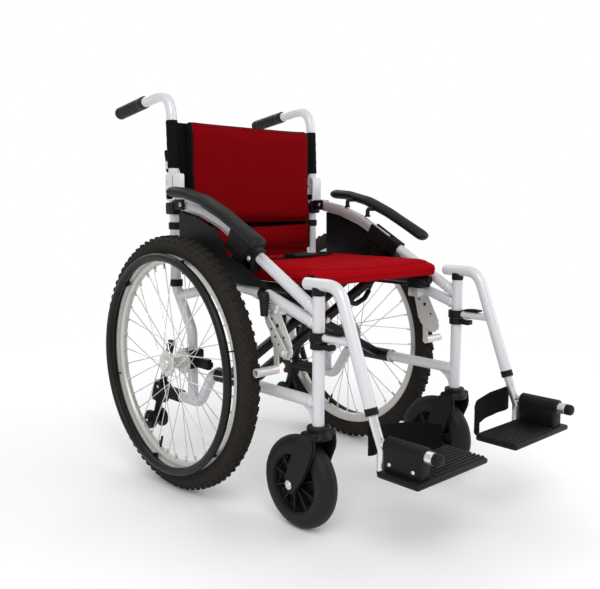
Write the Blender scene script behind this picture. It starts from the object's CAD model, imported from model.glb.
"""Looks of a manual folding wheelchair: finishes, smooth tubes, spokes, tread, cushions and straps.

Every sub-assembly is a class that holds its sizes and makes its own pieces. A piece that comes in pairs is
drawn on the sitter's left (+X) and mirrored to the right. Points are given as (x, y, z) in metres with y from
the rear axle, and `at` turns them into the frame's own coordinates.
"""
from __future__ import annotations

import logging
import math
from collections.abc import Callable, Sequence
from dataclasses import dataclass, field
from enum import Enum
from functools import cache
from typing import Any

import bmesh
import bpy
from mathutils import Matrix, Vector
from mathutils.bvhtree import BVHTree


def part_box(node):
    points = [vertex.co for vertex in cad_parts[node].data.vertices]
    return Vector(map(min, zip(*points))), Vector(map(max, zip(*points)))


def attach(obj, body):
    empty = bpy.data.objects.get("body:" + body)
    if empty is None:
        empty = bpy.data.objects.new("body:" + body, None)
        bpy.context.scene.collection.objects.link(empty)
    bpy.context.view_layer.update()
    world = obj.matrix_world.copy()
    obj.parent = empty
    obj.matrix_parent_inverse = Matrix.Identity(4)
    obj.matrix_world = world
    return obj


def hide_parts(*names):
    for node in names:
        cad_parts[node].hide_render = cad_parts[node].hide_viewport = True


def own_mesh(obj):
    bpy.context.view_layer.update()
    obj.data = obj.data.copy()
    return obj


LOG = logging.getLogger("wheelchair")
Point = tuple[float, float, float]
Flat = tuple[float, float]
Feeds = dict[str | int, Any]
Sockets = bpy.types.NodeOutputs

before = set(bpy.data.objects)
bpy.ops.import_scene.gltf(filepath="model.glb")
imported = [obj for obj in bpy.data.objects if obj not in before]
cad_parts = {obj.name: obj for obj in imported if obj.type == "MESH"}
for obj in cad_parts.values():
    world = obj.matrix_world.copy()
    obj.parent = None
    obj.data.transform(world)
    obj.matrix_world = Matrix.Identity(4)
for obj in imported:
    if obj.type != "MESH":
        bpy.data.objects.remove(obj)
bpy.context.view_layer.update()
AXLE = (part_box("tyre_left")[0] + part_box("tyre_left")[1]) / 2      # the left rear wheel's centre
FRAME_X = (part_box("castor_fork_left")[0].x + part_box("castor_fork_left")[1].x) / 2
TUBE_R = 0.0127
SHARP_ANGLE = math.radians(34)
COAT_ROUGHNESS = 0.12
GAP_SHADE, GAP_SHARE = 0.35, 0.65      # how dark a weave's gaps are, and how much of it they take


class Side(Enum):
    """The side of the chair that a piece is on, as the sitter names it."""

    LEFT = 1
    RIGHT = -1

    @property
    def tag(self) -> str:
        """The word that ends the names of this side's pieces."""
        return self.name.lower()


class Surface(Enum):
    """What a finish is made of, which picks its texture nodes."""

    PAINT = "paint"
    METAL = "metal"
    MOULDED = "moulded"
    RUBBER = "rubber"
    WOVEN = "woven"


def at(x: float, y: float, z: float) -> Vector:
    """The frame's point for a place whose y is measured from the rear axle."""
    return Vector((x, AXLE.y + y, z))


def mid(y: float, z: float) -> Vector:
    """A point in the plane of the left side frame's tubes."""
    return at(FRAME_X, y, z)


def aside(x: float) -> Vector:
    """A step along X."""
    return Vector((x, 0, 0))


# Nodes -----------------------------------------------------------------------------------------------
class Wiring:
    """A node tree that nodes are added to, each with its links in one call."""

    def __init__(self, tree: bpy.types.NodeTree) -> None:
        """Work on a tree."""
        self.tree = tree

    def add(self, kind: str, feeds: Feeds | None = None, **options: Any) -> bpy.types.Node:
        """Add a node.

        Args:
            kind: its type.
            feeds: input to the socket that feeds it, or to its value.
            **options: its other settings, which are made first.

        Returns:
            The node.
        """
        node = self.tree.nodes.new(kind)
        for name, value in options.items():
            setattr(node, name, value)
        self.feed(node, feeds or {})
        return node

    def feed(self, node: bpy.types.Node, feeds: Feeds) -> None:
        """Link sockets to a node's inputs, or set the inputs' values."""
        for key, value in feeds.items():
            if isinstance(value, bpy.types.NodeSocket):
                self.tree.links.new(value, node.inputs[key])
            else:
                node.inputs[key].default_value = value

    def calculate(self, operation: str, *values: bpy.types.NodeSocket | float) -> bpy.types.NodeSocket:
        """Add a Math node on some values and give what it puts out."""
        return self.add("ShaderNodeMath", dict(enumerate(values)), operation=operation).outputs[0]

    def place(self) -> bpy.types.NodeSocket:
        """The place on the object's own coordinates."""
        return self.add("ShaderNodeTexCoord").outputs["Object"]

    def noise(self, place: bpy.types.NodeSocket, scale: bpy.types.NodeSocket,
              detail: float) -> bpy.types.NodeSocket:
        """Add a noise and give its grey value."""
        return self.add("ShaderNodeTexNoise", {"Vector": place, "Scale": scale,
                                               "Detail": detail}).outputs["Fac"]

    def blend(self, share: bpy.types.NodeSocket, one: bpy.types.NodeSocket,
              two: bpy.types.NodeSocket) -> bpy.types.NodeSocket:
        """Add a mix of two colours and give its result."""
        return self.add("ShaderNodeMix", {"Factor": share, "A": one, "B": two},
                        data_type="RGBA").outputs["Result"]

    def bump(self, height: bpy.types.NodeSocket, depth: bpy.types.NodeSocket) -> bpy.types.NodeSocket:
        """Add a bump and give its normal."""
        return self.add("ShaderNodeBump", {"Height": height, "Distance": depth}).outputs["Normal"]


class NodeLibrary:
    """Shader node groups that several finishes share, each built once."""

    @staticmethod
    def begun(name: str, numbers: dict[str, float], colours: Sequence[str],
              outputs: dict[str, str]) -> tuple[Wiring, Sockets, bpy.types.Node]:
        """Start a group with named sockets.

        Args:
            name: the group's name.
            numbers: input name to default value.
            colours: names of colour inputs.
            outputs: output name to socket type.

        Returns:
            The group's wiring, the sockets that come in, and its output node.
        """
        made = bpy.data.node_groups.new(name, "ShaderNodeTree")
        for title, value in numbers.items():
            socket = made.interface.new_socket(title, in_out="INPUT", socket_type="NodeSocketFloat")
            socket.default_value = value
        for title in colours:
            made.interface.new_socket(title, in_out="INPUT", socket_type="NodeSocketColor")
        for title, kind in outputs.items():
            made.interface.new_socket(title, in_out="OUTPUT", socket_type="NodeSocket" + kind)
        return Wiring(made), made.nodes.new("NodeGroupInput").outputs, made.nodes.new("NodeGroupOutput")

    @staticmethod
    @cache
    def mottle() -> bpy.types.NodeTree:
        """Slow and fine variation between two colours, with a roughness that follows it."""
        wires, given, end = NodeLibrary.begun(
            "Mottle", {"Scale": 30.0, "Amount": 0.3, "Roughness": 0.4, "Spread": 0.1}, ("Colour", "Second"),
            {"Colour": "Color", "Roughness": "Float"})
        noise = wires.noise(wires.place(), given["Scale"], 6.0)
        share = wires.calculate("MULTIPLY", noise, given["Amount"])
        wires.feed(end, {"Colour": wires.blend(share, given["Colour"], given["Second"]),
                         "Roughness": wires.calculate("MULTIPLY_ADD", noise, given["Spread"],
                                                      given["Roughness"])})
        return wires.tree

    @staticmethod
    @cache
    def grain() -> bpy.types.NodeTree:
        """Fine moulded or cast grain, as a normal."""
        wires, given, end = NodeLibrary.begun("Grain", {"Scale": 900.0, "Depth": 0.00005, "Stretch": 1.0}, (),
                                              {"Normal": "Vector"})
        along = wires.add("ShaderNodeCombineXYZ", {"X": 1.0, "Y": given["Stretch"], "Z": 1.0}).outputs[0]
        place = wires.add("ShaderNodeVectorMath", {0: wires.place(), 1: along},
                          operation="MULTIPLY").outputs[0]
        noise = wires.noise(place, given["Scale"], 3.0)
        wires.feed(end, {"Normal": wires.bump(noise, given["Depth"])})
        return wires.tree

    @staticmethod
    @cache
    def weave() -> bpy.types.NodeTree:
        """Over-and-under threads on the object's own coordinates."""
        wires, given, end = NodeLibrary.begun(
            "Weave", {"Scale": 700.0, "Depth": 0.0004, "Amount": 0.5}, ("Thread", "Gap"),
            {"Colour": "Color", "Normal": "Vector"})
        split = wires.add("ShaderNodeSeparateXYZ", {0: wires.place()}).outputs
        runs = (split["X"], wires.calculate("ADD", split["Y"], split["Z"]))
        waves = [wires.calculate("SINE", wires.calculate("MULTIPLY", run, given["Scale"])) for run in runs]
        height = wires.calculate("MULTIPLY_ADD", wires.calculate("MULTIPLY", *waves), 0.5, 0.5)
        share = wires.calculate("MULTIPLY", height, given["Amount"])
        wires.feed(end, {"Colour": wires.blend(share, given["Thread"], given["Gap"]),
                         "Normal": wires.bump(height, given["Depth"])})
        return wires.tree


# Finishes --------------------------------------------------------------------------------------------
@dataclass(frozen=True)
class Finish:
    """A surface: its two colours, how it shines, and the scale of its texture.

    The colours are scene-linear. `mottle` is the share of the second colour, and `grain` and `depth` set the
    size and height of the fine texture.
    """

    name: str
    surface: Surface
    colour: Point
    second: Point
    roughness: float
    mottle: float = 0.25
    patch: float = 35.0
    spread: float = 0.08
    metallic: float = 0.0
    coat: float = 0.0
    specular: float = 0.5
    grain: float = 900.0
    depth: float = 0.00004
    stretch: float = 1.0

    def material(self) -> bpy.types.Material:
        """The material of this finish, built once.

        Returns:
            The material, with its groups placed and linked.
        """
        made = bpy.data.materials.get(self.name)
        if made:
            return made
        made = bpy.data.materials.new(self.name)
        made.use_nodes = True
        made.diffuse_color = (*self.colour, 1.0)
        wires, shader = Wiring(made.node_tree), made.node_tree.nodes["Principled BSDF"]
        mottle = wires.add("ShaderNodeGroup", {
            "Scale": self.patch, "Amount": self.mottle, "Roughness": self.roughness - self.spread / 2,
            "Spread": self.spread, "Colour": (*self.colour, 1.0), "Second": (*self.second, 1.0)},
            node_tree=NodeLibrary.mottle()).outputs
        fine = {"Scale": self.grain, "Depth": self.depth}
        colour = mottle["Colour"]
        if self.surface is Surface.WOVEN:
            gap = [part * GAP_SHADE for part in self.colour]
            texture = wires.add("ShaderNodeGroup", {**fine, "Amount": GAP_SHARE, "Thread": colour,
                                                    "Gap": (*gap, 1.0)},
                                node_tree=NodeLibrary.weave()).outputs
            colour = texture["Colour"]
        else:
            texture = wires.add("ShaderNodeGroup", {**fine, "Stretch": self.stretch},
                                node_tree=NodeLibrary.grain()).outputs
        wires.feed(shader, {"Metallic": self.metallic, "Coat Weight": self.coat,
                            "Coat Roughness": COAT_ROUGHNESS, "Specular IOR Level": self.specular,
                            "Roughness": mottle["Roughness"], "Base Color": colour,
                            "Normal": texture["Normal"]})
        return made


PEARL = Finish("pearl_white_paint", Surface.PAINT, (0.64, 0.645, 0.67), (0.56, 0.565, 0.60), 0.34,
               metallic=0.10, coat=0.35, grain=2600.0, depth=0.0)
SILVER = Finish("silver_paint", Surface.PAINT, (0.54, 0.54, 0.55), (0.44, 0.44, 0.46), 0.34, metallic=0.45,
                coat=0.2, grain=3000.0, depth=0.0)
ZINC = Finish("zinc_plate", Surface.METAL, (0.72, 0.71, 0.68), (0.52, 0.51, 0.49), 0.38, mottle=0.5,
              patch=120.0, metallic=0.55, grain=1400.0, depth=0.00002)
CHROME = Finish("bright_steel", Surface.METAL, (0.74, 0.74, 0.74), (0.58, 0.58, 0.59), 0.24, metallic=0.85,
                grain=2000.0, depth=0.00001)
ALLOY = Finish("brushed_alloy", Surface.METAL, (0.62, 0.61, 0.57), (0.52, 0.51, 0.48), 0.36, metallic=0.45,
               patch=60.0, grain=700.0, depth=0.00002, stretch=0.2)
SATIN_BLACK = Finish("satin_black_paint", Surface.PAINT, (0.006, 0.006, 0.0065), (0.010, 0.010, 0.011), 0.42,
                     specular=0.25, grain=1500.0, depth=0.00001)
MOULDING = Finish("black_moulding", Surface.MOULDED, (0.0052, 0.0052, 0.0056), (0.010, 0.010, 0.0105), 0.46,
                  specular=0.17, grain=1300.0, depth=0.00006)
SOFT_GRIP = Finish("soft_black_grip", Surface.RUBBER, (0.0065, 0.0068, 0.0065), (0.013, 0.0135, 0.013), 0.50,
                   specular=0.20, grain=800.0, depth=0.00008)
TYRE = Finish("tyre_rubber", Surface.RUBBER, (0.015, 0.0128, 0.0108), (0.030, 0.026, 0.021), 0.80, mottle=0.6,
              patch=55.0, specular=0.15, grain=1000.0, depth=0.00012)
CASTOR_RUBBER = Finish("castor_rubber", Surface.RUBBER, (0.008, 0.008, 0.0085), (0.017, 0.017, 0.017), 0.55,
                       specular=0.22, grain=1100.0, depth=0.00005)
RED_CLOTH = Finish("red_mesh_cloth", Surface.WOVEN, (0.230, 0.0015, 0.0040), (0.130, 0.0008, 0.0022), 0.92,
                   mottle=0.40, patch=18.0, specular=0.03, grain=1900.0, depth=0.00030)
SEAT_CLOTH = Finish("red_seat_cloth", Surface.WOVEN, (0.430, 0.0024, 0.0070), (0.280, 0.0014, 0.0042), 0.92,
                    mottle=0.40, patch=18.0, specular=0.03, grain=1900.0, depth=0.00030)
BLACK_CLOTH = Finish("black_nylon", Surface.WOVEN, (0.0050, 0.0050, 0.0054), (0.0030, 0.0030, 0.0032), 0.75,
                     specular=0.08, grain=2600.0, depth=0.00020)
WEBBING = Finish("black_webbing", Surface.WOVEN, (0.0055, 0.0055, 0.0058), (0.010, 0.010, 0.0104), 0.82,
                 specular=0.08, grain=3200.0, depth=0.00025)
THREAD = Finish("dark_thread", Surface.WOVEN, (0.075, 0.002, 0.003), (0.040, 0.001, 0.002), 0.85,
                specular=0.05, grain=6000.0, depth=0.0001)
RED_KNOB = Finish("red_plastic", Surface.MOULDED, (0.500, 0.006, 0.008), (0.380, 0.005, 0.006), 0.38,
                  specular=0.3, grain=1200.0)


# Shapes ----------------------------------------------------------------------------------------------
def rounded(points: Sequence[Vector], radius: float, steps: int = 8) -> list[Vector]:
    """A path with each inner corner replaced by a bend.

    Args:
        points: the path's corners.
        radius: the bend's size.
        steps: points in each bend.

    Returns:
        The points of the bent path.
    """
    path = [points[0]]
    for before, corner, after in zip(points, points[1:], points[2:]):
        back, ahead = (before - corner).normalized(), (after - corner).normalized()
        half = math.acos(max(-1.0, min(1.0, back.dot(ahead)))) / 2
        reach = min(radius / math.tan(half), (before - corner).length * 0.48, (after - corner).length * 0.48)
        for i in range(steps + 1):
            t = i / steps
            path.append(corner + back * reach * (1 - t) ** 2 + ahead * reach * t ** 2)
    return path + [points[-1]]


def spaced(path: Sequence[Vector], count: int) -> list[Vector]:
    """A path's points laid out again at even steps.

    Args:
        path: the points it runs through.
        count: how many points it gets.

    Returns:
        The evenly spaced points.
    """
    runs = [0.0]
    for one, two in zip(path, path[1:]):
        runs.append(runs[-1] + (two - one).length)
    made = []
    for i in range(count):
        reach = runs[-1] * i / (count - 1)
        k = max(j for j in range(len(path) - 1) if runs[j] <= reach + 1e-12)
        share = (reach - runs[k]) / max(1e-9, runs[k + 1] - runs[k])
        made.append(path[k].lerp(path[k + 1], min(1.0, share)))
    return made


def run_length(path: Sequence[Vector]) -> float:
    """The length of a path."""
    return sum((two - one).length for one, two in zip(path, path[1:]))


def direction(path: Sequence[Vector], i: int) -> Vector:
    """The direction of a path at one of its points."""
    return (path[min(i + 1, len(path) - 1)] - path[max(i - 1, 0)]).normalized()


def line(points: Sequence[Flat], x: float = FRAME_X) -> list[Vector]:
    """The points of a path in a plane across X, from (y, z) pairs."""
    return [at(x, y, z) for y, z in points]


def both_ways(half: list[Flat], middle: Sequence[Flat] = ()) -> list[Flat]:
    """Half a turned profile, its middle points, and the half's mirror image after them."""
    return [*half, *middle, *((-along, radius) for along, radius in reversed(half))]


def meshed(solid: bmesh.types.BMesh, name: str = "solid") -> bpy.types.Mesh:
    """A solid as a mesh; the solid is used up."""
    mesh = bpy.data.meshes.new(name)
    solid.to_mesh(mesh)
    solid.free()
    return mesh


def wrap(solid: bmesh.types.BMesh, rings: Sequence[Sequence[bmesh.types.BMVert]]) -> None:
    """Join a row of rings into a capped solid."""
    for one, two in zip(rings, rings[1:]):
        for k in range(len(one)):
            after = (k + 1) % len(one)
            solid.faces.new((one[k], one[after], two[after], two[k]))
    solid.faces.new(rings[0])
    solid.faces.new(rings[-1])


def quilt(rows: int, columns: int, place: Callable[[int, int, bool], Vector]) -> bmesh.types.BMesh:
    """A closed solid between two grids of points.

    Args:
        rows: cells along it.
        columns: cells across it.
        place: the point at (column, row), on the upper skin or the lower one.

    Returns:
        The solid, with its rim closed.
    """
    solid = bmesh.new()
    skins = [[[solid.verts.new(place(i, j, top)) for i in range(columns + 1)] for j in range(rows + 1)]
             for top in (True, False)]
    for grid in skins:
        for j in range(rows):
            for i in range(columns):
                solid.faces.new((grid[j][i], grid[j][i + 1], grid[j + 1][i + 1], grid[j + 1][i]))
    rim = ([(0, i) for i in range(columns)] + [(j, columns) for j in range(rows)]
           + [(rows, i) for i in range(columns, 0, -1)] + [(j, 0) for j in range(rows, 0, -1)])
    for (j, i), (q, p) in zip(rim, rim[1:] + rim[:1]):
        solid.faces.new((skins[0][j][i], skins[1][j][i], skins[1][q][p], skins[0][q][p]))
    bmesh.ops.recalc_face_normals(solid, faces=solid.faces)
    return solid


class Bench:
    """Gathers the solids of one piece, drawn on the left, and makes the piece from them."""

    def __init__(self, name: str, side: Side | None = None) -> None:
        """Start a piece; a side makes it one of a mirrored pair."""
        self.name = f"{name}_{side.tag}" if side else name
        self.side = side
        self.shape = bmesh.new()
        self.finishes: list[Finish] = []

    def take(self, solid: bmesh.types.BMesh, finish: Finish, outward: bool = True) -> None:
        """Add a solid in a finish.

        Args:
            solid: the solid, which is used up.
            finish: the finish it gets.
            outward: whether its faces are turned outwards first.
        """
        if finish not in self.finishes:
            self.finishes.append(finish)
        if outward:
            bmesh.ops.remove_doubles(solid, verts=solid.verts, dist=1e-6)
            bmesh.ops.recalc_face_normals(solid, faces=solid.faces)
        for face in solid.faces:
            face.material_index = self.finishes.index(finish)
            face.smooth = True
        mesh = meshed(solid)
        self.shape.from_mesh(mesh)
        bpy.data.meshes.remove(mesh)

    def take_mesh(self, mesh: bpy.types.Mesh, finish: Finish, matrix: Matrix | None = None) -> None:
        """Add a finished mesh, moved by a matrix."""
        solid = bmesh.new()
        solid.from_mesh(mesh)
        if matrix:
            solid.transform(matrix)
        self.take(solid, finish, outward=False)

    def sweep(self, points: Sequence[Vector], radius: float, finish: Finish, bend: float = 0.0,
              sides: int = 20, flatten: Flat = (1.0, 1.0),
              swell: Callable[[float], float] | None = None) -> None:
        """A round or oval bar along a path.

        Args:
            points: the path.
            radius: the bar's radius.
            finish: its finish.
            bend: the size of the bends at the path's corners.
            sides: facets round it.
            flatten: factors across and up the section.
            swell: factor on the radius at a share of the length.
        """
        path = rounded(points, bend) if bend else list(points)
        solid = bmesh.new()
        across = aside(1)
        first = (path[1] - path[0]).normalized()
        if abs(first.x) > 0.9:
            across = Vector((0, 0, 1))
        rings = []
        for i, point in enumerate(path):
            run = direction(path, i)
            across = (across - run * across.dot(run)).normalized()
            up = run.cross(across)
            size = radius * (swell(i / (len(path) - 1)) if swell else 1.0)
            ring = []
            for k in range(sides):
                turn = 2 * math.pi * k / sides
                offset = across * math.cos(turn) * size * flatten[0] + up * math.sin(turn) * size * flatten[1]
                ring.append(solid.verts.new(point + offset))
            rings.append(ring)
        wrap(solid, rings)
        self.take(solid, finish)

    def rod(self, start: Vector, end: Vector, radius: float, finish: Finish, sides: int = 24,
            end_radius: float | None = None, chamfer: float = 0.0006) -> None:
        """A straight bar with softened rims.

        Args:
            start: the middle of one end.
            end: the middle of the other end.
            radius: its radius at the start.
            finish: its finish.
            sides: facets round it.
            end_radius: its radius at the end.
            chamfer: the width of its softened rims.
        """
        along = end - start
        solid = bmesh.new()
        bmesh.ops.create_cone(solid, cap_ends=True, segments=sides, radius1=radius, depth=along.length,
                              radius2=radius if end_radius is None else end_radius)
        if chamfer:
            rims = [edge for edge in solid.edges if abs(edge.verts[0].co.z - edge.verts[1].co.z) < 1e-7]
            bmesh.ops.bevel(solid, geom=rims, offset=chamfer, segments=2, affect="EDGES")
        turn = along.to_track_quat("Z", "Y").to_matrix().to_4x4()
        solid.transform(Matrix.Translation((start + end) / 2) @ turn)
        self.take(solid, finish)

    def block(self, size: Point, centre: Vector, finish: Finish, tilt: float = 0.0, axis: str = "X",
              edge: float = 0.002) -> None:
        """A box with rounded edges.

        Args:
            size: its sides.
            centre: its centre.
            finish: its finish.
            tilt: its turn about the axis through its centre.
            axis: the axis it is turned about.
            edge: the radius of its edges.
        """
        solid = bmesh.new()
        bmesh.ops.create_cube(solid, size=1.0, matrix=Matrix.Diagonal((*size, 1.0)))
        bmesh.ops.bevel(solid, geom=solid.edges[:], offset=min(edge, min(size) * 0.4), segments=3,
                        affect="EDGES", profile=0.5)
        solid.transform(Matrix.Translation(centre) @ Matrix.Rotation(tilt, 4, axis))
        self.take(solid, finish)

    def plate(self, outline: Sequence[Flat], x: float, thick: float, finish: Finish, corner: float = 0.0,
              edge: float = 0.0006, holes: Sequence[Point] = ()) -> None:
        """A flat plate across X.

        Args:
            outline: its (y, z) corners, y from the axle.
            x: its inner face.
            thick: its thickness.
            finish: its finish.
            corner: the radius of its corners.
            edge: the radius of its edges.
            holes: (y, z, radius) of dark rimmed holes, drawn as inset eyelets.
        """
        solid = bmesh.new()
        solid.faces.new([solid.verts.new(at(x, y, z)) for y, z in outline])
        if corner:
            bmesh.ops.bevel(solid, geom=solid.verts[:], offset=corner, segments=4, affect="VERTICES")
            solid.faces.ensure_lookup_table()
        grown = bmesh.ops.extrude_face_region(solid, geom=solid.faces[:], use_keep_orig=True)
        moved = [part for part in grown["geom"] if isinstance(part, bmesh.types.BMVert)]
        bmesh.ops.translate(solid, verts=moved, vec=(thick, 0, 0))
        if edge:
            rims = [e for e in solid.edges if abs(e.verts[0].co.x - e.verts[1].co.x) < 1e-7]
            bmesh.ops.bevel(solid, geom=rims, offset=min(edge, thick * 0.45), segments=2, affect="EDGES")
        self.take(solid, finish)
        for y, z, radius in holes:
            self.rod(at(x - 0.0002, y, z), at(x + thick + 0.0002, y, z), radius, SATIN_BLACK, 20, chamfer=0)

    def lathe(self, profile: Sequence[Flat], centre: Vector, finish: Finish, axis: str = "X", steps: int = 48,
              closed: bool = True) -> None:
        """A turned solid.

        Args:
            profile: (distance along the axis, radius) points.
            centre: a point on the axis.
            finish: its finish.
            axis: the axis it turns about.
            steps: facets round it.
            closed: whether the profile's ends meet.
        """
        solid = bmesh.new()
        verts = [solid.verts.new((radius, 0.0, along)) for along, radius in profile]
        edges = [solid.edges.new(pair) for pair in zip(verts, verts[1:])]
        if closed:
            edges.append(solid.edges.new((verts[-1], verts[0])))
        bmesh.ops.spin(solid, geom=verts + edges, cent=(0, 0, 0), axis=(0, 0, 1), angle=2 * math.pi,
                       steps=steps, use_merge=True)
        bmesh.ops.dissolve_degenerate(solid, dist=1e-6, edges=solid.edges)
        turn = {"X": Matrix.Rotation(math.pi / 2, 4, "Y"), "Y": Matrix.Rotation(-math.pi / 2, 4, "X"),
                "Z": Matrix.Identity(4)}[axis]
        solid.transform(Matrix.Translation(centre) @ turn)
        self.take(solid, finish)

    def bolt(self, place: Vector, axis: str, outward: float, radius: float, finish: Finish = CHROME) -> None:
        """A dome-headed bolt with a hex recess.

        Args:
            place: where its head sits.
            axis: the axis it stands along.
            outward: +1 or -1, the way its head faces.
            radius: the radius of its head.
            finish: its finish.
        """
        high = radius * 0.62 * outward
        profile = [(0.0, 0.0), (0.0, radius), (high * 0.45, radius), (high * 0.85, radius * 0.78),
                   (high, radius * 0.48), (high * 0.55, radius * 0.42), (high * 0.55, 0.0)]
        self.lathe(profile, place, finish, axis, 24, closed=False)

    def make(self, body: str, stands: bool = True) -> bpy.types.Object:
        """Make the piece and hang it on its body.

        Args:
            body: the body it moves with, without its side's word where the piece has a side.
            stands: whether it stands for the frame's node of its own name.

        Returns:
            The finished piece.
        """
        if self.side:
            body = f"{body}_{self.side.tag}"
        if self.side is Side.RIGHT:
            self.shape.transform(Matrix.Diagonal((-1, 1, 1, 1)))
            bmesh.ops.reverse_faces(self.shape, faces=self.shape.faces)
        mesh = meshed(self.shape, self.name)
        for finish in self.finishes:
            mesh.materials.append(finish.material())
        mesh.set_sharp_from_angle(angle=SHARP_ANGLE)
        piece = bpy.data.objects.new(self.name + "_looks", mesh)
        bpy.context.scene.collection.objects.link(piece)
        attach(piece, body)
        if stands:
            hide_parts(self.name)
        LOG.info("%s: %d faces on %s", piece.name, len(mesh.polygons), body)
        return piece


class Repeat(Enum):
    """How a Geometry Nodes tree lays out its copies."""

    RING = "ring"
    PATH = "path"


class Repeater:
    """Geometry Nodes trees that repeat a small item round a ring or along a path."""

    @staticmethod
    @cache
    def tree(kind: Repeat) -> bpy.types.NodeTree:
        """The tree that lays out copies in this way, built once.

        Args:
            kind: ring or path.

        Returns:
            The Geometry Nodes tree.
        """
        made = bpy.data.node_groups.new(f"repeat_on_{kind.value}", "GeometryNodeTree")
        for title, socket in (("Geometry", "Geometry"), ("Item", "Object"), ("Count", "Int"),
                              ("Radius", "Float"), ("Start", "Float"), ("Finish", "Material")):
            made.interface.new_socket(title, in_out="INPUT", socket_type="NodeSocket" + socket)
        made.interface.new_socket("Geometry", in_out="OUTPUT", socket_type="NodeSocketGeometry")
        wires = Wiring(made)
        given, end = wires.add("NodeGroupInput").outputs, wires.add("NodeGroupOutput")
        item = wires.add("GeometryNodeObjectInfo", {"Object": given["Item"]}).outputs["Geometry"]
        if kind is Repeat.RING:
            ring = wires.add("GeometryNodeMeshCircle",
                             {"Vertices": given["Count"], "Radius": given["Radius"]})
            share = wires.calculate("DIVIDE", wires.add("GeometryNodeInputIndex").outputs[0], given["Count"])
            spin = wires.add("ShaderNodeCombineXYZ", {"Z": wires.calculate("MULTIPLY", share, 2 * math.pi)})
            placed = wires.add("GeometryNodeInstanceOnPoints",
                               {"Points": ring.outputs["Mesh"], "Instance": item, "Rotation": spin.outputs[0]})
            lead = wires.add("ShaderNodeCombineXYZ", {"Z": given["Start"]})
            copies = wires.add("GeometryNodeTransform", {"Geometry": placed.outputs["Instances"],
                                                         "Rotation": lead.outputs[0]}).outputs["Geometry"]
        else:
            curve = wires.add("GeometryNodeMeshToCurve", {"Mesh": given["Geometry"]})
            points = wires.add("GeometryNodeCurveToPoints",
                               {"Curve": curve.outputs["Curve"], "Count": given["Count"]}, mode="COUNT").outputs
            placed = wires.add("GeometryNodeInstanceOnPoints", {"Points": points["Points"], "Instance": item,
                                                                "Rotation": points["Rotation"]})
            copies = placed.outputs["Instances"]
        real = wires.add("GeometryNodeRealizeInstances", {"Geometry": copies})
        dress = wires.add("GeometryNodeSetMaterial", {"Geometry": real.outputs["Geometry"],
                                                      "Material": given["Finish"]})
        wires.feed(end, {"Geometry": dress.outputs["Geometry"]})
        return made

    @classmethod
    def run(cls, kind: Repeat, item: bmesh.types.BMesh, count: int, finish: Finish, radius: float = 0.0,
            start: float = 0.0, path: Sequence[Vector] = ()) -> bpy.types.Mesh:
        """Lay out copies of an item and make them a plain mesh.

        Args:
            kind: ring or path.
            item: the item, drawn at the origin, which is used up.
            count: how many copies.
            finish: their finish.
            radius: the ring's radius.
            start: the ring's starting angle.
            path: the points of the path.

        Returns:
            A mesh of all the copies; a ring lies in the XY plane.
        """
        bmesh.ops.recalc_face_normals(item, faces=item.faces)
        stencil = bpy.data.objects.new("item", meshed(item))
        line = bpy.data.meshes.new("line")
        line.from_pydata([tuple(p) for p in path], [(i, i + 1) for i in range(len(path) - 1)], [])
        carrier = bpy.data.objects.new("carrier", line)
        for thing in (stencil, carrier):
            bpy.context.scene.collection.objects.link(thing)
        modifier = carrier.modifiers.new("repeat", "NODES")
        tree = cls.tree(kind)
        modifier.node_group = tree
        values = {"Item": stencil, "Count": count, "Radius": radius, "Start": start,
                  "Finish": finish.material()}
        for socket in tree.interface.items_tree:
            if socket.item_type == "SOCKET" and socket.in_out == "INPUT" and socket.name in values:
                modifier[socket.identifier] = values[socket.name]
        bpy.context.view_layer.update()
        made = bpy.data.meshes.new_from_object(carrier.evaluated_get(bpy.context.evaluated_depsgraph_get()))
        carrier.modifiers.clear()
        for thing in (stencil, carrier):
            bpy.data.objects.remove(thing)
        return made


def small_block(size: Point, centre: Point = (0, 0, 0), edge: float = 0.0) -> bmesh.types.BMesh:
    """A small box at the origin, for repeating."""
    solid = bmesh.new()
    bmesh.ops.create_cube(solid, size=1.0, matrix=Matrix.Translation(centre) @ Matrix.Diagonal((*size, 1.0)))
    if edge:
        bmesh.ops.bevel(solid, geom=solid.edges[:], offset=edge, segments=1, affect="EDGES")
    return solid


def small_rod(start: Point, end: Point, radius: float, sides: int = 8) -> bmesh.types.BMesh:
    """A small round bar near the origin, for repeating."""
    solid = bmesh.new()
    run = Vector(end) - Vector(start)
    bmesh.ops.create_cone(solid, cap_ends=True, segments=sides, radius1=radius, radius2=radius,
                          depth=run.length)
    solid.transform(Matrix.Translation((Vector(start) + Vector(end)) / 2)
                    @ run.to_track_quat("Z", "Y").to_matrix().to_4x4())
    return solid


def knob(size: Point, centre: Point, lean: float = 0.0) -> bmesh.types.BMesh:
    """A tread block that narrows outwards, along local X, and leans to one side."""
    solid = bmesh.new()
    bmesh.ops.create_cube(solid, size=1.0)
    for vertex in solid.verts:
        if vertex.co.x > 0:
            vertex.co.y *= 0.78
            vertex.co.z *= 0.78
    turn = Matrix.Rotation(lean, 4, "Y")
    solid.transform(Matrix.Translation(centre) @ turn @ Matrix.Diagonal((*size, 1.0)))
    return solid


def joined(solids: Sequence[bmesh.types.BMesh]) -> bmesh.types.BMesh:
    """Several small solids as one item for repeating."""
    whole = bmesh.new()
    for solid in solids:
        bmesh.ops.recalc_face_normals(solid, faces=solid.faces)
        mesh = meshed(solid)
        whole.from_mesh(mesh)
        bpy.data.meshes.remove(mesh)
    return whole


def fold(piece: bpy.types.Object) -> None:
    """Let a soft piece crumple sideways as the chair folds.

    Args:
        piece: the piece.
    """
    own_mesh(piece)


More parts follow.
